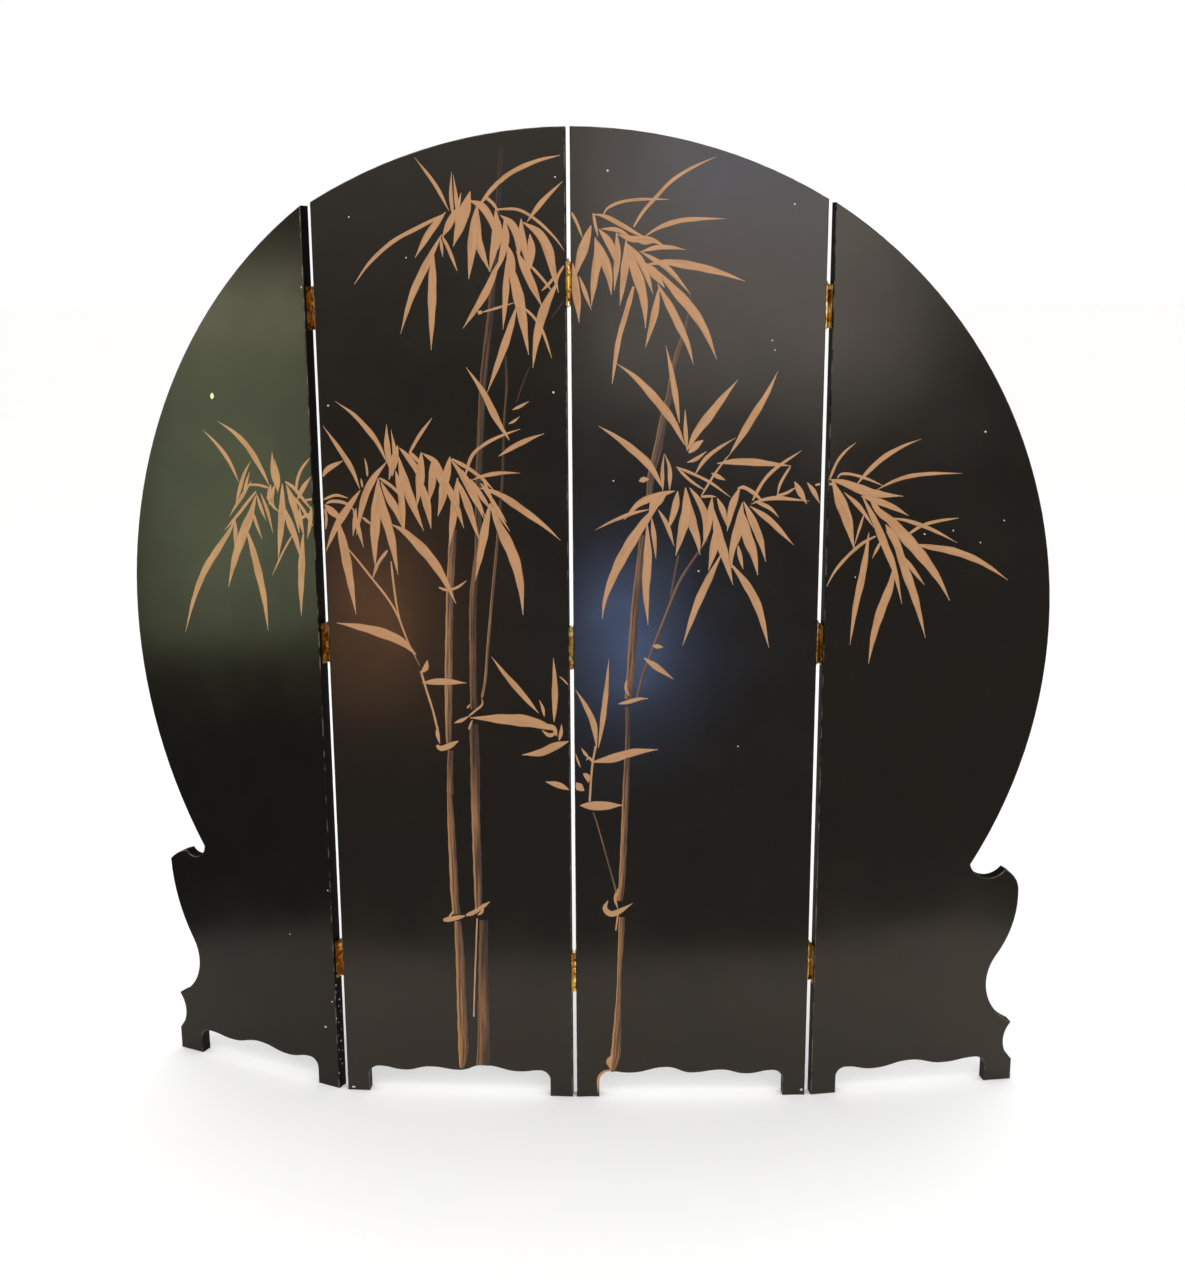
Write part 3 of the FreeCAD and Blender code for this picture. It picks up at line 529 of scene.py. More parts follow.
innerLeftBamboo = {"top": [
    ("leaf", 7, ((-203, 1690), (-226, 1734), (-261, 1780))),
    ("arc", 7, ((-214, 1683), (-258, 1662), (-303, 1639), (-345, 1604), (-375, 1566))),
    ("leaf", 13, ((-209, 1688), (-238, 1654), (-265, 1611))),
    ("leaf", 14, ((-192, 1692), (-203, 1668), (-216, 1646))),
    ("leaf", 14, ((-217, 1650), (-243, 1604), (-273, 1545), (-295, 1480))),
    ("leaf", 16, ((-233, 1628), (-236, 1560), (-241, 1451))),
    ("arc", 6, ((-216, 1647), (-206, 1627), (-191, 1588))),
    ("leaf", 6, ((-219, 1645), (-216, 1612))),
    ("leaf", 7, ((-195, 1672), (-199, 1716), (-197, 1755))),
    ("leaf", 7, ((-188, 1672), (-190, 1712), (-194, 1750))),
    ("leaf", 9, ((-192, 1664), (-188, 1692), (-181, 1720))),
    ("leaf", 21, ((-165, 1722), (-178, 1682), (-197, 1630))),
    ("leaf", 18, ((-154, 1699), (-161, 1650), (-171, 1574))),
    ("leaf", 15, ((-166, 1707), (-145, 1697), (-130, 1675), (-124, 1648))),
    ("leaf", 17, ((-153, 1697), (-155, 1650), (-146, 1617), (-133, 1586))),
    ("leaf", 19, ((-121, 1693), (-119, 1655), (-126, 1620), (-134, 1586))),
    ("arc", 6, ((-139, 1713), (-126, 1702), (-116, 1688))),
    ("arc", 8, ((-147, 1702), (-125, 1728), (-93, 1753), (-48, 1772), (-8, 1781))),
    ("leaf", 9, ((-67, 1670), (-40, 1704), (-4, 1738))),
    ("arc", 5, ((-121, 1692), (-82, 1691), (-50, 1673), (-20, 1645), (-1, 1620))),
    ("leaf", 18, ((-74, 1670), (-47, 1652), (-31, 1625), (-23, 1592), (-13, 1550))),
    ("leaf", 15, ((-113, 1682), (-94, 1667), (-83, 1642), (-82, 1606))),
    ("leaf", 15, ((-106, 1678), (-105, 1645), (-112, 1612), (-122, 1585))),
    ("leaf", 14, ((-77, 1676), (-76, 1645), (-70, 1615), (-66, 1590))),
    ("leaf", 15, ((-62, 1650), (-60, 1618), (-67, 1580))),
    ("leaf", 14, ((-101, 1630), (-95, 1606), (-90, 1578))),
    ("leaf", 20, ((-103, 1614), (-84, 1545), (-67, 1443))),
    ("leaf", 16, ((-86, 1622), (-65, 1577), (-42, 1525))),
    ("leaf", 14, ((-116, 1606), (-142, 1550), (-183, 1489))),
    ("leaf", 12, ((-103, 1608), (-106, 1550), (-112, 1487))),
    ("leaf", 14, ((-86, 1530), (-108, 1464), (-142, 1377))),
    ("leaf", 17, ((-14, 1570), (-40, 1518), (-53, 1468), (-60, 1420))),
    ("arc", 5, ((-3, 1596), (-13, 1580), (-18, 1562))),
    ("arc", 5, ((-62, 1597), (-41, 1574), (-24, 1552))),
    ("arc", 5, ((-77, 1527), (-56, 1507), (-41, 1482), (-26, 1437))),
    ("leaf", 5, ((-152, 1516), (-126, 1523), (-88, 1534))),
    ("arc", 5, ((-19, 1578), (-30, 1565), (-43, 1553))),
    ("leaf", 13, ((-104, 1292), (-127, 1331), (-150, 1378), (-179, 1421))),
    ("leaf", 6, ((-98, 1346), (-84, 1352), (-68, 1361))),
    ("leaf", 5, ((-105, 1321), (-95, 1326), (-85, 1334))),
    ("stem", 6, ((-156, 1516), (-149, 1517))),
], "middle": [
    ("leaf", 10, ((-328, 1252), (-341, 1282), (-357, 1306), (-386, 1338), (-418, 1361))),
    ("leaf", 10, ((-379, 1203), (-392, 1238), (-415, 1277), (-442, 1317))),
    ("leaf", 11, ((-447, 1224), (-436, 1239), (-408, 1254))),
    ("arc", 5, ((-447, 1183), (-424, 1191), (-401, 1186))),
    ("arc", 6, ((-442, 1176), (-430, 1180), (-408, 1177), (-389, 1163))),
    ("leaf", 14, ((-378, 1201), (-403, 1167), (-426, 1132), (-447, 1086))),
    ("leaf", 15, ((-445, 1174), (-431, 1160), (-412, 1146))),
    ("leaf", 18, ((-424, 1155), (-411, 1086), (-395, 970))),
    ("leaf", 14, ((-328, 1252), (-353, 1222), (-372, 1184), (-389, 1118))),
    ("leaf", 9, ((-393, 1166), (-387, 1140), (-376, 1095))),
    ("leaf", 8, ((-387, 1168), (-391, 1142), (-395, 1116))),
    ("leaf", 20, ((-344, 1222), (-350, 1164), (-355, 1112), (-356, 1058))),
    ("leaf", 18, ((-344, 1214), (-337, 1165), (-324, 1112), (-314, 1045))),
    ("arc", 6, ((-342, 1223), (-318, 1206), (-299, 1185))),
    ("leaf", 15, ((-340, 1216), (-327, 1189), (-311, 1160), (-297, 1122))),
    ("leaf", 12, ((-321, 1234), (-326, 1280), (-326, 1320))),
    ("leaf", 8, ((-318, 1226), (-313, 1268), (-318, 1310))),
    ("leaf", 15, ((-307, 1282), (-316, 1248), (-325, 1220))),
    ("leaf", 12, ((-304, 1278), (-288, 1260), (-272, 1235), (-264, 1204))),
    ("leaf", 18, ((-306, 1262), (-296, 1215), (-280, 1168), (-264, 1127))),
    ("leaf", 14, ((-301, 1205), (-303, 1160), (-300, 1118))),
    ("leaf", 12, ((-312, 1236), (-305, 1200), (-306, 1165))),
    ("leaf", 17, ((-264, 1270), (-268, 1218), (-275, 1172))),
    ("leaf", 10, ((-262, 1268), (-240, 1253), (-222, 1228))),
    ("leaf", 16, ((-272, 1228), (-258, 1182), (-250, 1131))),
    ("leaf", 16, ((-243, 1260), (-245, 1222), (-252, 1180))),
    ("leaf", 16, ((-225, 1234), (-227, 1192), (-237, 1154))),
    ("leaf", 13, ((-240, 1254), (-232, 1226), (-226, 1200))),
    ("leaf", 15, ((-212, 1262), (-220, 1225), (-228, 1188))),
    ("leaf", 13, ((-224, 1228), (-212, 1195), (-200, 1165), (-190, 1132))),
    ("leaf", 16, ((-199, 1224), (-205, 1176), (-211, 1138), (-217, 1098))),
    ("leaf", 12, ((-212, 1258), (-192, 1231), (-176, 1199), (-152, 1148))),
    ("arc", 7, ((-209, 1258), (-179, 1241), (-156, 1224), (-134, 1202))),
    ("leaf", 14, ((-201, 1222), (-183, 1177), (-161, 1107))),
    ("leaf", 12, ((-190, 1238), (-172, 1200), (-150, 1152))),
    ("leaf", 14, ((-160, 1206), (-124, 1194), (-79, 1164), (-40, 1135), (-14, 1111))),
    ("leaf", 8, ((-173, 1220), (-150, 1228), (-118, 1233), (-86, 1233))),
    ("arc", 6, ((-186, 1226), (-172, 1264), (-148, 1285), (-118, 1300), (-84, 1312))),
    ("leaf", 10, ((-124, 1263), (-95, 1281), (-63, 1296), (-41, 1304))),
    ("leaf", 16, ((-141, 1178), (-153, 1122), (-171, 1036))),
    ("leaf", 21, ((-141, 1178), (-125, 1136), (-100, 1080), (-88, 1028), (-84, 972))),
    ("arc", 6, ((-153, 1222), (-132, 1170), (-106, 1127))),
    ("arc", 6, ((-157, 1214), (-138, 1185), (-112, 1144))),
    ("leaf", 10, ((-176, 1222), (-156, 1190), (-138, 1164))),
    ("leaf", 19, ((-322, 1138), (-296, 1122), (-256, 1080), (-230, 1040), (-208, 992))),
    ("arc", 5, ((-376, 1151), (-361, 1138))),
    ("arc", 6, ((-286, 1268), (-266, 1301), (-243, 1331))),
    ("arc", 7, ((-286, 1270), (-272, 1256), (-262, 1246))),
    ("arc", 4, ((-364, 1226), (-365, 1243), (-368, 1259))),
    ("arc", 4, ((-374, 1206), (-376, 1222))),
    ("arc", 6, ((-332, 1090), (-350, 1066), (-362, 1036))),
    ("arc", 4, ((-408, 1096), (-387, 1070), (-363, 1038), (-336, 1002), (-318, 970), (-300, 920),
                (-279, 873))),
    ("arc", 4, ((-326, 1070), (-323, 1030), (-318, 985), (-311, 954))),
    ("leaf", 20, ((-285, 894), (-312, 919), (-352, 936), (-392, 946), (-432, 953))),
    ("leaf", 11, ((-277, 860), (-268, 868), (-264, 884))),
    ("arc", 5, ((-445, 1166), (-443, 1150), (-445, 1128))),
], "lower": [
    ("leaf", 14, ((-275, 840), (-240, 843), (-192, 841))),
    ("stem", 4, ((-277, 863), (-267, 824), (-256, 785), (-247, 741))),
    ("leaf", 8, ((-248, 756), (-249, 742), (-245, 722))),
    ("arc", 11, ((-251, 719), (-243, 713), (-228, 718), (-210, 728))),
    ("leaf", 12, ((-58, 785), (-92, 826), (-122, 862), (-144, 892))),
    ("leaf", 12, ((-29, 768), (-27, 810), (-27, 850), (-29, 891))),
    ("leaf", 6, ((-47, 778), (-50, 795), (-56, 810))),
    ("leaf", 24, ((-24, 752), (-70, 767), (-120, 772), (-187, 774))),
    ("leaf", 9, ((-24, 748), (-38, 742), (-52, 752))),
    ("leaf", 8, ((-24, 740), (-30, 758), (-42, 764))),
    ("leaf", 8, ((-20, 732), (-16, 748), (-15, 764))),
    ("leaf", 17, ((-2, 731), (-30, 720), (-55, 708), (-90, 703))),
    ("leaf", 13, ((-2, 636), (-22, 645), (-46, 651))),
    ("arc", 3, ((-2, 840), (-9, 848), (-18, 856))),
    ("arc", 10, ((-248, 367), (-232, 370), (-205, 377))),
    ("arc", 4, ((-237, 373), (-232, 380), (-227, 388))),
    ("arc", 9, ((-203, 378), (-186, 386), (-157, 407))),
    ("arc", 6, ((-170, 396), (-173, 385), (-181, 379))),
    ("arc", 5, ((-239, 1022), (-224, 1017), (-205, 1022), (-187, 1035))),
    ("leaf", 7, ((-217, 763), (-200, 770), (-187, 778))),
    ("arc", 4, ((-189, 777), (-176, 788), (-163, 800), (-164, 813))),
    ("arc", 4, ((-192, 792), (-186, 800))),
    ("arc", 4, ((-190, 751), (-182, 770))),
    ("stem", 3, ((-182, 372), (-186, 300), (-190, 230), (-193, 166))),
], "culms": [
    ((-210, 1130, 14, 0.5), (-215, 1060, 14, 0.6), (-219, 1000, 14, 0.7), (-225, 860, 14, 0.8),
     (-227, 780, 13, 0.8), (-228, 724, 10, 0.7)),
    ((-225, 710, 11, 0.4), (-227, 670, 11, 0.45), (-228, 622, 12, 0.6)),
    ((-229, 625, 9, 0.6), (-228, 571, 13, 0.75), (-226, 490, 15, 0.8), (-225, 430, 15, 0.8),
     (-222, 380, 14, 0.8)),
    ((-220, 366, 11, 0.7), (-219, 345, 15, 0.68), (-217, 285, 17, 0.72), (-216, 180, 19, 0.8),
     (-215, 100, 20, 0.86), (-217, 70, 15, 0.95), (-220, 55, 6, 1.0)),
    ((-109, 1796, 9, 0.05), (-120, 1660, 10, 0.12), (-132, 1530, 11, 0.2),
     (-141, 1462, 12, 0.24), (-150, 1388, 12, 0.26), (-156, 1300, 12, 0.26),
     (-162, 1200, 12, 0.22), (-165, 1096, 12, 0.3), (-176, 1000, 13, 0.38),
     (-179, 860, 13, 0.36), (-179, 790, 13, 0.3)),
    ((-180, 762, 17, 0.25), (-179, 691, 18, 0.32), (-180, 612, 17, 0.5), (-180, 560, 16, 0.7),
     (-179, 470, 16, 0.72), (-179, 388, 13, 0.7)),
    ((-169, 369, 16, 0.2), (-171.5, 290, 18, 0.32), (-173, 202, 20, 0.42), (-173, 117, 22, 0.5),
     (-175, 62, 22, 0.6)),
    ((-183, 200, 3, 0.4), (-184, 120, 4, 0.6), (-187, 62, 6, 0.8)),
    ((-108, 1441, 3.5, 0.22), (-107, 1388, 4, 0.25), (-112, 1332, 4, 0.25),
     (-117, 1230, 4.5, 0.25), (-122, 1176, 4.5, 0.25), (-132, 1080, 5, 0.5),
     (-142, 990, 5, 0.75), (-149, 924, 5, 0.8), (-156, 850, 5, 0.85), (-163, 814, 4.5, 0.85)),
    ((-65, 1423, 2, 0.14), (-78, 1392, 2.5, 0.18), (-90, 1359, 2, 0.14)),
    ((-4, 1536, 2, 0.12), (-14, 1522, 2, 0.16), (-26, 1506, 2, 0.12)),
]}
innerRightBamboo = {"top": [
    ("arc", 6, ((110, 1661), (126, 1686), (147, 1709), (176, 1738), (212, 1760), (251, 1777))),
    ("arc", 5, ((58, 1682), (64, 1692), (85, 1702), (120, 1707), (171, 1707))),
    ("leaf", 9, ((128, 1644), (155, 1660), (190, 1671), (229, 1674), (270, 1674))),
    ("leaf", 9, ((38, 1683), (60, 1679), (88, 1665), (117, 1649), (138, 1641))),
    ("arc", 5, ((40, 1684), (43, 1667), (48, 1645))),
    ("arc", 5, ((2, 1686), (12, 1667), (21, 1643))),
    ("leaf", 18, ((36, 1664), (25, 1632), (14, 1600), (7, 1574))),
    ("leaf", 16, ((4, 1600), (7, 1565), (12, 1530), (14, 1499))),
    ("leaf", 8, ((15, 1578), (25, 1550), (36, 1520))),
    ("leaf", 16, ((43, 1644), (47, 1610), (42, 1577), (36, 1527))),
    ("leaf", 17, ((43, 1642), (57, 1611), (67, 1579), (71, 1546))),
    ("leaf", 14, ((49, 1658), (66, 1637), (78, 1610), (84, 1588))),
    ("leaf", 12, ((80, 1652), (82, 1617), (79, 1584), (76, 1553))),
    ("leaf", 14, ((97, 1640), (96, 1606), (92, 1570), (86, 1527))),
    ("leaf", 8, ((53, 1658), (82, 1656), (108, 1642))),
    ("leaf", 12, ((80, 1650), (106, 1641), (138, 1640), (168, 1626))),
    ("leaf", 9, ((122, 1619), (150, 1626), (176, 1626), (201, 1622))),
    ("leaf", 19, ((96, 1636), (108, 1600), (121, 1565), (129, 1529), (131, 1488))),
    ("leaf", 13, ((97, 1634), (118, 1610), (132, 1582), (144, 1547))),
    ("leaf", 10, ((120, 1620), (142, 1608), (165, 1594), (184, 1576), (210, 1546))),
    ("leaf", 15, ((131, 1597), (165, 1601), (200, 1597), (235, 1590), (268, 1581), (305, 1568))),
    ("leaf", 16, ((130, 1600), (148, 1580), (164, 1558))),
    ("leaf", 18, ((150, 1588), (182, 1553), (212, 1520), (236, 1484), (257, 1434))),
    ("leaf", 15, ((152, 1564), (176, 1521), (194, 1485), (206, 1459), (216, 1425))),
    ("leaf", 13, ((155, 1560), (147, 1513), (131, 1455))),
    ("arc", 9, ((110, 1560), (97, 1515), (83, 1465), (72, 1392))),
    ("leaf", 16, ((202, 1282), (180, 1325), (148, 1366), (113, 1403), (79, 1428))),
    ("leaf", 11, ((192, 1322), (185, 1368), (176, 1418), (167, 1458))),
    ("leaf", 17, ((206, 1273), (223, 1305), (245, 1334), (270, 1367), (295, 1397))),
    ("leaf", 14, ((283, 1266), (303, 1298), (323, 1332), (347, 1372), (366, 1412))),
    ("leaf", 14, ((112, 1640), (125, 1638), (150, 1636))),
], "middle": [
    ("leaf", 8, ((206, 1272), (203, 1310), (202, 1346))),
    ("leaf", 15, ((209, 1268), (220, 1280), (235, 1291))),
    ("leaf", 7, ((206, 1251), (222, 1257), (241, 1271))),
    ("leaf", 8, ((219, 1227), (238, 1256), (262, 1276), (293, 1295))),
    ("leaf", 14, ((260, 1249), (290, 1252), (325, 1251), (364, 1247), (393, 1244))),
    ("arc", 6, ((325, 1182), (345, 1218), (370, 1243), (411, 1271))),
    ("arc", 5, ((392, 1243), (375, 1213), (369, 1188))),
    ("arc", 5, ((368, 1190), (386, 1195), (404, 1206))),
    ("leaf", 8, ((322, 1175), (344, 1183), (371, 1186), (400, 1183), (428, 1180))),
    ("leaf", 12, ((400, 1216), (411, 1196), (423, 1175))),
    ("leaf", 9, ((423, 1214), (436, 1196), (446, 1176))),
    ("stem", 4, ((438, 1209), (446, 1211))),
    ("leaf", 9, ((250, 1232), (261, 1226), (275, 1219))),
    ("arc", 4, ((232, 1190), (254, 1227), (271, 1251), (285, 1268))),
    ("arc", 5, ((187, 1243), (214, 1232), (248, 1215), (285, 1188))),
    ("arc", 5, ((190, 1240), (213, 1218), (240, 1200))),
    ("arc", 5, ((232, 1189), (246, 1190), (259, 1189))),
    ("leaf", 12, ((120, 1218), (129, 1221), (138, 1221))),
    ("leaf", 15, ((163, 1205), (139, 1246), (107, 1276), (77, 1299), (48, 1317))),
    ("leaf", 7, ((163, 1200), (162, 1238), (165, 1267))),
    ("leaf", 8, ((175, 1200), (175, 1240), (166, 1267))),
    ("leaf", 14, ((185, 1200), (155, 1192), (120, 1177), (93, 1148))),
    ("leaf", 7, ((140, 1167), (106, 1159), (71, 1145), (41, 1130))),
    ("leaf", 20, ((170, 1198), (150, 1180), (138, 1158))),
    ("leaf", 20, ((160, 1182), (129, 1142), (98, 1094), (73, 1044), (58, 1000), (53, 965))),
    ("leaf", 17, ((135, 1140), (136, 1080), (133, 1020), (137, 953))),
    ("leaf", 9, ((143, 1152), (148, 1112), (151, 1076))),
    ("leaf", 9, ((155, 1166), (171, 1138), (184, 1099))),
    ("leaf", 14, ((190, 1200), (185, 1168), (173, 1130))),
    ("leaf", 20, ((204, 1206), (206, 1165), (198, 1126), (187, 1082))),
    ("leaf", 18, ((207, 1192), (215, 1146), (226, 1112), (231, 1083))),
    ("leaf", 13, ((211, 1206), (229, 1180), (240, 1150), (238, 1102))),
    ("leaf", 14, ((252, 1188), (248, 1150), (240, 1112), (234, 1098))),
    ("leaf", 11, ((261, 1187), (272, 1163), (279, 1136))),
    ("leaf", 18, ((255, 1166), (264, 1120), (277, 1078), (292, 1027))),
    ("leaf", 16, ((262, 1140), (256, 1094), (247, 1054))),
    ("leaf", 14, ((302, 1206), (288, 1170), (280, 1126))),
    ("leaf", 18, ((307, 1178), (300, 1130), (289, 1088), (289, 1058))),
    ("leaf", 20, ((305, 1168), (316, 1118), (329, 1083), (337, 1045))),
    ("leaf", 15, ((309, 1180), (326, 1144), (341, 1108), (351, 1070))),
    ("leaf", 9, ((300, 1100), (304, 1080), (310, 1056))),
    ("leaf", 12, ((320, 1172), (355, 1147), (381, 1121), (401, 1100))),
    ("leaf", 8, ((328, 1181), (356, 1168), (373, 1151))),
    ("arc", 7, ((298, 1203), (308, 1206), (326, 1196), (344, 1180))),
    ("leaf", 15, ((270, 1084), (249, 1041), (226, 989), (201, 914))),
    ("leaf", 16, ((286, 1068), (316, 1028), (340, 982), (360, 909))),
    ("leaf", 10, ((145, 914), (155, 912), (165, 911))),
], "lower": [
    ("leaf", 12, ((42, 719), (36, 765), (20, 802), (3, 831))),
    ("leaf", 11, ((45, 718), (53, 770), (60, 830), (65, 889))),
    ("leaf", 18, ((32, 690), (70, 697), (112, 709), (156, 714))),
    ("leaf", 6, ((28, 697), (20, 707), (13, 718))),
    ("leaf", 4, ((11, 680), (6, 694), (2, 708))),
    ("stem", 4, ((40, 722), (33, 680), (28, 613))),
    ("leaf", 12, ((16, 668), (24, 662), (26, 650))),
    ("leaf", 16, ((3, 650), (9, 641), (18, 634))),
    ("leaf", 20, ((10, 605), (48, 604), (90, 605))),
    ("leaf", 12, ((129, 891), (152, 874), (184, 850))),
    ("arc", 5, ((34, 690), (28, 699), (22, 694))),
    ("leaf", 9, ((82, 803), (98, 806), (120, 812), (138, 813))),
    ("arc", 5, ((98, 848), (96, 832), (103, 818))),
    ("leaf", 13, ((62, 413), (56, 398), (66, 386), (82, 390), (109, 407))),
    ("leaf", 7, ((82, 438), (76, 416), (81, 396))),
    ("stem", 3, ((81, 386), (77, 352))),
    ("leaf", 10, ((72, 90), (62, 76), (67, 59))),
    ("arc", 5, ((67, 58), (53, 54), (44.5, 45.5), (41.5, 34), (41.5, 9))),
], "culms": [
    ((213, 1541, 5, 0.3), (203, 1491, 7, 0.3), (194, 1462, 10, 0.36), (182, 1418, 12, 0.36),
     (173, 1365, 12, 0.34), (168, 1351, 13, 0.34), (160, 1310, 14, 0.42), (153, 1273, 15, 0.44),
     (142, 1228, 13, 0.36), (139, 1190, 12, 0.3)),
    ((127, 1120, 12, 0.34), (123, 1080, 12, 0.4), (113, 983, 14, 0.5), (105, 860, 15, 0.55),
     (100, 812, 13, 0.5)),
    ((100, 797, 9, 0.3), (100, 740, 9, 0.34), (98, 680, 11, 0.45), (95, 600, 12, 0.7),
     (92.5, 535, 12, 0.75), (89, 455, 12, 0.75), (85, 412, 10, 0.7)),
    ((88.5, 379, 12, 0.7), (87, 332, 11, 0.75), (84.5, 280, 9, 0.8), (83.5, 240, 9, 0.85),
     (81.5, 200, 10, 0.85), (80, 160, 14, 0.85), (78, 120, 17, 0.9), (76, 88, 19, 0.95),
     (72, 66, 13, 1.0), (68, 54, 8, 1.0)),
    ((245, 1112, 4, 0.4), (222, 1078, 4, 0.5), (193, 1031, 4.5, 0.55), (168, 967, 4.5, 0.6),
     (147, 910, 4.5, 0.6), (129, 860, 4.5, 0.55), (117, 816, 4, 0.5)),
    ((192, 1083, 4, 0.3), (185, 1045, 4, 0.35), (179, 1005, 4, 0.35)),
    ((34, 591, 2.5, 0.5), (40, 576, 2.5, 0.55), (68, 471, 3, 0.65), (79, 428, 3.5, 0.75)),
]}
outerRightBamboo = {"crown": [
    ("arc", 5, ((2, 1219), (15, 1250), (30, 1269), (49, 1284))),
    ("leaf", 10, ((51, 1206), (73, 1231), (103, 1257), (140, 1277), (171, 1288))),
    ("arc", 5, ((17, 1221), (23, 1228), (44, 1227), (73, 1218), (103, 1205))),
    ("leaf", 8, ((91, 1198), (123, 1213), (157, 1222), (200, 1225), (252, 1224))),
    ("leaf", 17, ((2, 1219), (30, 1212), (60, 1200), (95, 1190), (141, 1185))),
    ("leaf", 22, ((7, 1218), (23, 1180), (38, 1143), (52, 1091))),
    ("leaf", 9, ((30, 1195), (60, 1167), (88, 1129))),
    ("leaf", 14, ((55, 1194), (90, 1192), (118, 1187))),
    ("leaf", 13, ((62, 1187), (100, 1175), (128, 1163), (153, 1149))),
    ("leaf", 15, ((64, 1188), (90, 1140), (110, 1096), (130, 1050), (147, 985))),
    ("leaf", 22, ((84, 1172), (118, 1142), (150, 1108), (187, 1067), (217, 1027), (239, 988))),
    ("leaf", 17, ((112, 1122), (135, 1088), (152, 1045), (170, 1000), (183, 960), (195, 919))),
    ("leaf", 9, ((144, 1076), (166, 1048), (189, 1019))),
    ("leaf", 8, ((116, 1146), (150, 1140), (187, 1127), (217, 1113), (248, 1096))),
    ("arc", 6, ((150, 1112), (180, 1130), (213, 1138), (249, 1142))),
    ("leaf", 14, ((158, 1097), (200, 1089), (240, 1081), (283, 1065), (317, 1046), (350, 1023))),
    ("leaf", 14, ((79, 1120), (75, 1080), (68, 1033), (58, 980), (50, 911))),
    ("leaf", 18, ((131, 1062), (123, 1018), (107, 973), (95, 927), (87, 874))),
    ("arc", 6, ((92, 1113), (67, 1100), (40, 1077), (17, 1050), (2, 1022))),
    ("leaf", 5, ((70, 1158), (61, 1128), (52, 1095))),
    ("leaf", 6, ((104, 1106), (96, 1090), (87, 1072))),
    ("leaf", 15, ((110, 1134), (130, 1104), (148, 1074))),
    ("stem", 5, ((2, 1211), (14, 1209))),
    ("leaf", 14, ((40, 1208), (75, 1190), (104, 1168))),
    ("leaf", 12, ((78, 1184), (98, 1156), (122, 1132))),
]}
bambooBoards = {
    "outer_left_panel": outerLeftBamboo,
    "inner_left_panel": innerLeftBamboo,
    "inner_right_panel": innerRightBamboo,
    "outer_right_panel": outerRightBamboo,
}
for board, clusters in bambooBoards.items():
    for cluster, strokes in clusters.items():
        paintCluster(f"{board}_bamboo_{cluster}", board, cluster == "culms", strokes)
print("bamboo painted")

# Small chips and specks in the lacquer: (x, z, width, height) in the board's millimetres.
boardChips = {
    "outer_left_panel": ((-26, 128, 6, 4), (-8, 186, 4, 3), (-4, 1561, 3, 4),
                         (-6, 420, 3, 3), (-103, 311, 3, 2)),
    "inner_left_panel": ((-380, 1681, 3, 3), (-281, 1611, 3, 3), (-17, 1745, 3, 3),
                         (-24, 1377, 4, 4), (-431, 1353, 4, 4), (-437, 7, 8, 4)),
    "inner_right_panel": ((65, 1755, 4, 4), (389, 1698, 4, 3), (355, 1466, 3, 3),
                          (360, 1449, 3, 3), (74, 1219, 3, 3), (229, 1053, 4, 3),
                          (306, 719, 3, 3), (442, 12, 6, 5)),
    "outer_right_panel": ((292, 1299, 4, 4), (337, 1135, 3, 3), (293, 1095, 3, 3),
                          (240, 1119, 3, 3), (185, 1114, 4, 3), (56, 1038, 3, 3)),
}
# Chips on the left board's seam edge below its bottom hinge: (depth, z, width, height).
edgeChips = ((4.4, 221, 4, 4), (3.4, 207, 3, 5), (13.8, 187, 5, 4), (11.1, 174, 3, 3),
             (2.0, 151, 3, 4), (12.7, 98, 5, 4), (4.7, 82, 3, 4), (2.0, 33, 3, 5),
             (7, 240, 3, 3), (16, 160, 3, 3), (8, 140, 3, 3), (15, 122, 3, 3), (6, 113, 3, 2),
             (16, 75, 3, 3), (9, 60, 3, 3), (14, 48, 3, 3))
drip = (-218.8, 1363, 9, 12)
# a flake's corners, their reach as shares of its size, and its rings from the board outwards:
# the depth in mm and the share of the outline
flake = {"corners": 11, "reach": (0.36, 0.56),
         "rings": ((0.1, 1.0), (-0.06, 1.0), (-0.1, 0.7))}


# Makes the chips of one board as thin flat flakes with uneven outlines.
def addChips(name, board, chips, paint, onEdge=False):
    mesh = bmesh.new()
    for x, z, width, height in chips:
        rings = []
        for depth, grow in flake["rings"]:
            state = random.Random(f"{x}{z}")
            ring = []
            for step in range(flake["corners"]):
                angle = 2 * math.pi * step / flake["corners"]
                reach = grow * state.uniform(*flake["reach"])
                along = x + width * reach * math.cos(angle)
                rise = z + height * reach * math.sin(angle)
                spot = (-depth, along, rise) if onEdge else (along, depth, rise)
                ring.append(mesh.verts.new(spot))
            rings.append(ring)
        for corners in tubeFaces(rings):
            mesh.faces.new(corners)
    addPiece(name, board, mesh, paint)


for board, chips in boardChips.items():
    addChips(f"{board}_chips", board, chips, "chip")
addChips("outer_left_panel_edge_chips", "outer_left_panel", edgeChips, "chip", onEdge=True)
addChips("outer_left_panel_drip", "outer_left_panel", [drip], "drip")
print("chips made")

# The pale floor covering is cut as wide as the picture, so the lacquer mirrors little of it.
floor = {"outline": ((-1.08, -0.735), (1.24, -0.78), (31.0, 60.0), (-31.0, 60.0)),
         "colour": "#FCFBFA", "worn": "#FAFAF9", "wornMm": 900.0}
mesh = bmesh.new()
mesh.faces.new([mesh.verts.new((x, y, 0.0)) for x, y in floor["outline"]])
# Painted plaster, matt and nearly white.
material, tree, surface = newMaterial("paintedPlasterFloor", {"Roughness": 0.85,
                                                              "Specular IOR Level": 0.2})
place = addNode(tree, "TexCoord").outputs["Object"]
worn = remap(tree, grainNoise(tree, place, floor["wornMm"], 3), 0.3, 0.7)
dress(tree, surface, mixColour(tree, worn, floor["colour"], floor["worn"]))
floorPiece = addMesh("floor", mesh, material)

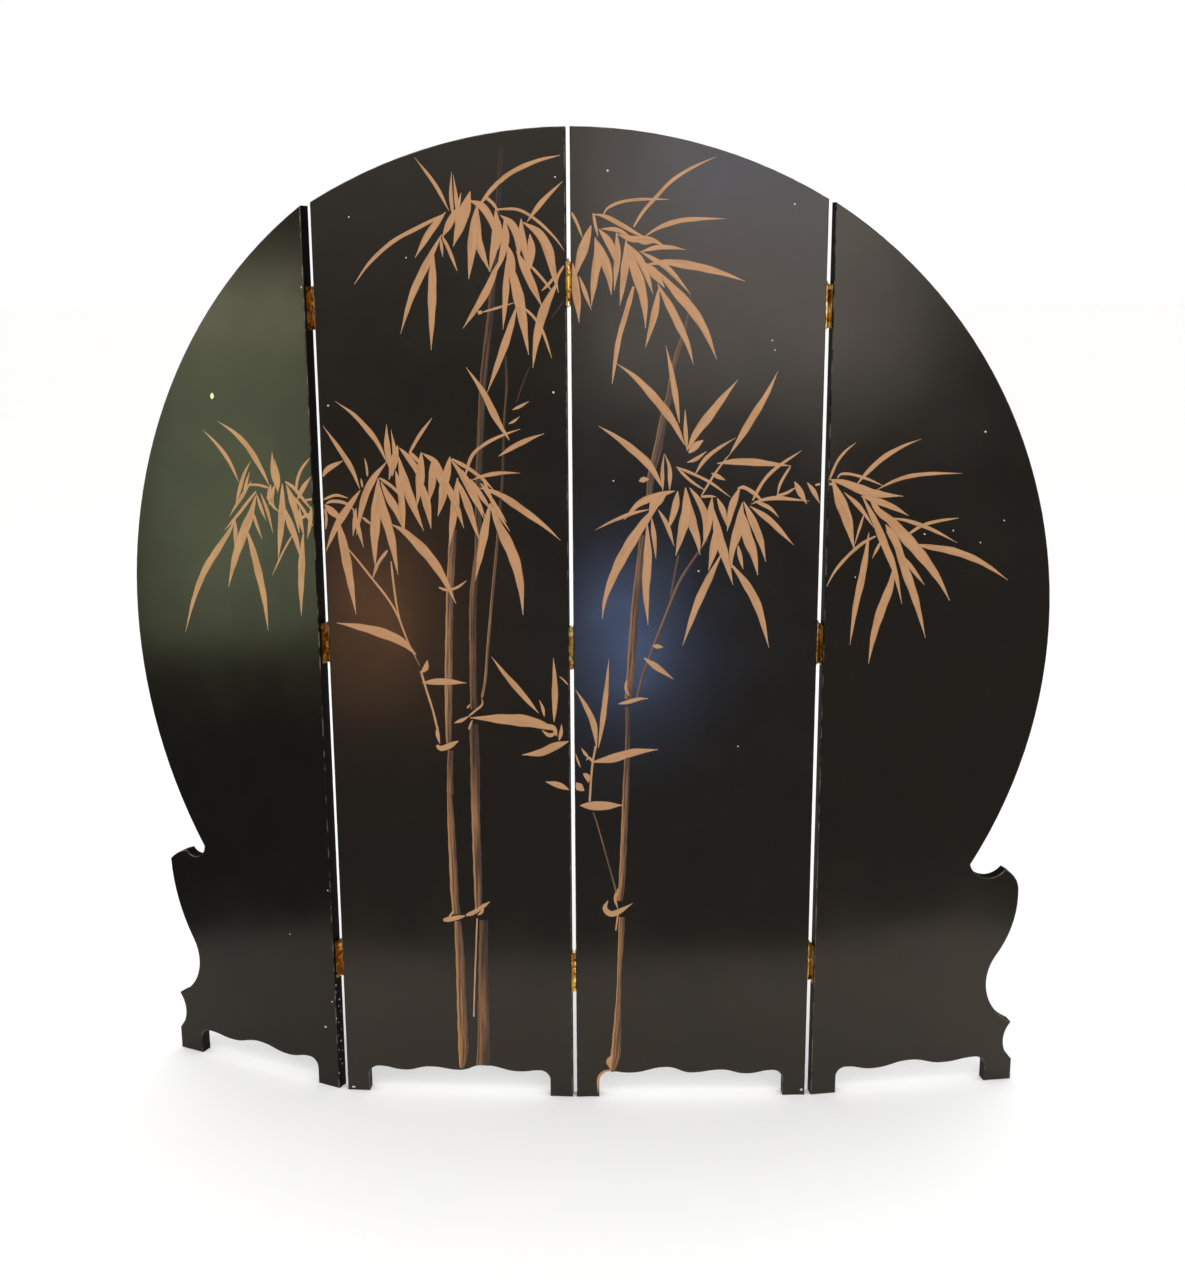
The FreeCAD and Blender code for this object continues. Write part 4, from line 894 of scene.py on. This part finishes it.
# Softboxes: place, what they face, size in metres, power in watts and tint. From the window on
# they are what the lacquer mirrors: a window and sky on the right boards, green and a pale band
# on the left one, blue and brown between. The last five shine on the named boards alone.
softboxes = {
    "keyLeft": {"place": (-1.9, -2.9, 3.6), "aim": (0, 0, 0.9), "size": (2.4, 1.6),
                "power": 16, "tint": "#FFFDF8"},
    "keyRight": {"place": (2.3, -2.6, 3.5), "aim": (0, 0, 0.9), "size": (2.2, 1.6),
                 "power": 12, "tint": "#FFFDF8"},
    "overhead": {"place": (0, 0.7, 4.2), "aim": (0, 0.3, 0), "size": (5.0, 3.0),
                 "power": 30, "tint": "#FFFFFF"},
    "window": {"place": (1.15, -3.1, 1.76), "aim": (0.4, -0.1, 1.6), "size": (2.1, 1.3),
               "power": 19, "tint": "#F4F7FF"},
    "skyGlow": {"place": (0.79, -3.15, 1.94), "aim": (0.33, -0.1, 1.75), "size": (0.8, 0.22),
                "power": 1.5, "tint": "#5E8CFF", "boards": ("inner_right_panel",)},
    "greenGlow": {"place": (-2.84, -1.1, 0.96), "aim": (-0.66, 0.03, 1.1), "size": (0.72, 1.2),
                  "power": 11.5, "tint": "#D8EFC8", "boards": ("outer_left_panel",)},
    "paleGlow": {"place": (-2.80, -1.08, 1.5), "aim": (-0.66, 0.03, 1.4), "size": (0.72, 0.24),
                 "power": 1.5, "tint": "#F4F2DC", "boards": ("outer_left_panel",)},
    "blueGlow": {"place": (0.23, -2.6, 0.36), "aim": (0.09, -0.1, 0.93), "size": (0.2, 0.4),
                 "power": 3.2, "tint": "#80A6F2",
                 "boards": ("inner_left_panel", "inner_right_panel")},
    "brownGlow": {"place": (-1.03, -2.5, 0.44), "aim": (-0.38, -0.1, 0.97), "size": (0.28, 0.55),
                  "power": 1.6, "tint": "#F0B080", "boards": ("inner_left_panel",)},
}
for name, box in softboxes.items():
    lamp = bpy.data.lights.new(name, "AREA")
    lamp.shape = "RECTANGLE"
    lamp.size, lamp.size_y = box["size"]
    lamp.energy = box["power"]
    lamp.color = hexToLinear(box["tint"])[:3]
    light = addObject(name, lamp)
    light.location = box["place"]
    direction = Vector(box["aim"]) - Vector(box["place"])
    light.rotation_euler = direction.to_track_quat("-Z", "Y").to_euler()
    light.visible_camera = False
    if "boards" in box:
        lit = bpy.data.collections.new(name + "Boards")
        for piece in bpy.data.objects:
            if piece.name.startswith(box["boards"]):
                lit.objects.link(piece)
        light.light_linking.receiver_collection = lit

# The room: white walls, seen much dimmer in the lacquer, dimmest low down and on the left.
# Each pair gives the directions between which the tone changes.
room = {"backdrop": "#FFFFFF", "walls": 1.06, "low": 0.26, "high": 0.95, "behind": 0.15,
        "left": 0.45, "skirting": (-0.03, 0.07), "leftWall": (-0.95, -0.5),
        "rearWall": (-0.2, 0.3)}
world = bpy.data.worlds.new("studio")
bpy.context.scene.world = world
world.use_nodes = True
tree = world.node_tree
background = tree.nodes["Background"]
heading = addNode(tree, "TexCoord").outputs["Generated"]
across, depth, height = separate(tree, heading)
front = multiply(tree, remap(tree, height, *room["skirting"], room["low"], room["high"]),
                 remap(tree, across, *room["leftWall"], room["left"], 1.0))
backward = remap(tree, depth, *room["rearWall"])
ambient = addNode(tree, "Mix", {3: room["behind"]}, {0: backward, 2: front}).outputs[0]
rays = addNode(tree, "LightPath").outputs
mirrored = addNode(tree, "CombineColor", {}, {0: ambient, 1: ambient, 2: ambient}).outputs[0]
walls = (room["walls"], room["walls"], room["walls"], 1.0)
shone = mixColour(tree, rays["Is Glossy Ray"], walls, mirrored)
seen = mixColour(tree, rays["Is Camera Ray"], shone, room["backdrop"])
tree.links.new(seen, background.inputs["Color"])

# The photograph's camera: place in mm, angles in degrees, the lens and its sensor in mm, and how
# far it sees in metres.
shot = {"place": (84.67, -2984.29, 1598.6), "yaw": -1.21, "pitch": 13.2, "roll": 0.29,
        "lens": 45.08, "sensor": 36.0, "reach": 200.0}
yaw, pitch, roll = (math.radians(shot[key]) for key in ("yaw", "pitch", "roll"))
forward = Vector((math.sin(yaw) * math.cos(pitch), math.cos(yaw) * math.cos(pitch),
                  -math.sin(pitch)))
right = Vector((math.cos(yaw), -math.sin(yaw), 0.0))
down = forward.cross(right)
imageRight = right * math.cos(roll) + down * math.sin(roll)
imageDown = down * math.cos(roll) - right * math.sin(roll)
view = Matrix((imageRight, -imageDown, -forward)).transposed().to_4x4()
view.translation = Vector(shot["place"]) / 1000
cameraData = bpy.data.cameras.new("camera")
cameraData.sensor_width = shot["sensor"]
cameraData.sensor_fit = "AUTO"
cameraData.lens = shot["lens"]
cameraData.clip_end = shot["reach"]
camera = addObject("camera", cameraData)
camera.matrix_world = view
bpy.context.scene.camera = camera
bpy.context.scene.view_settings.view_transform = "Standard"
print("floor, light and camera set")
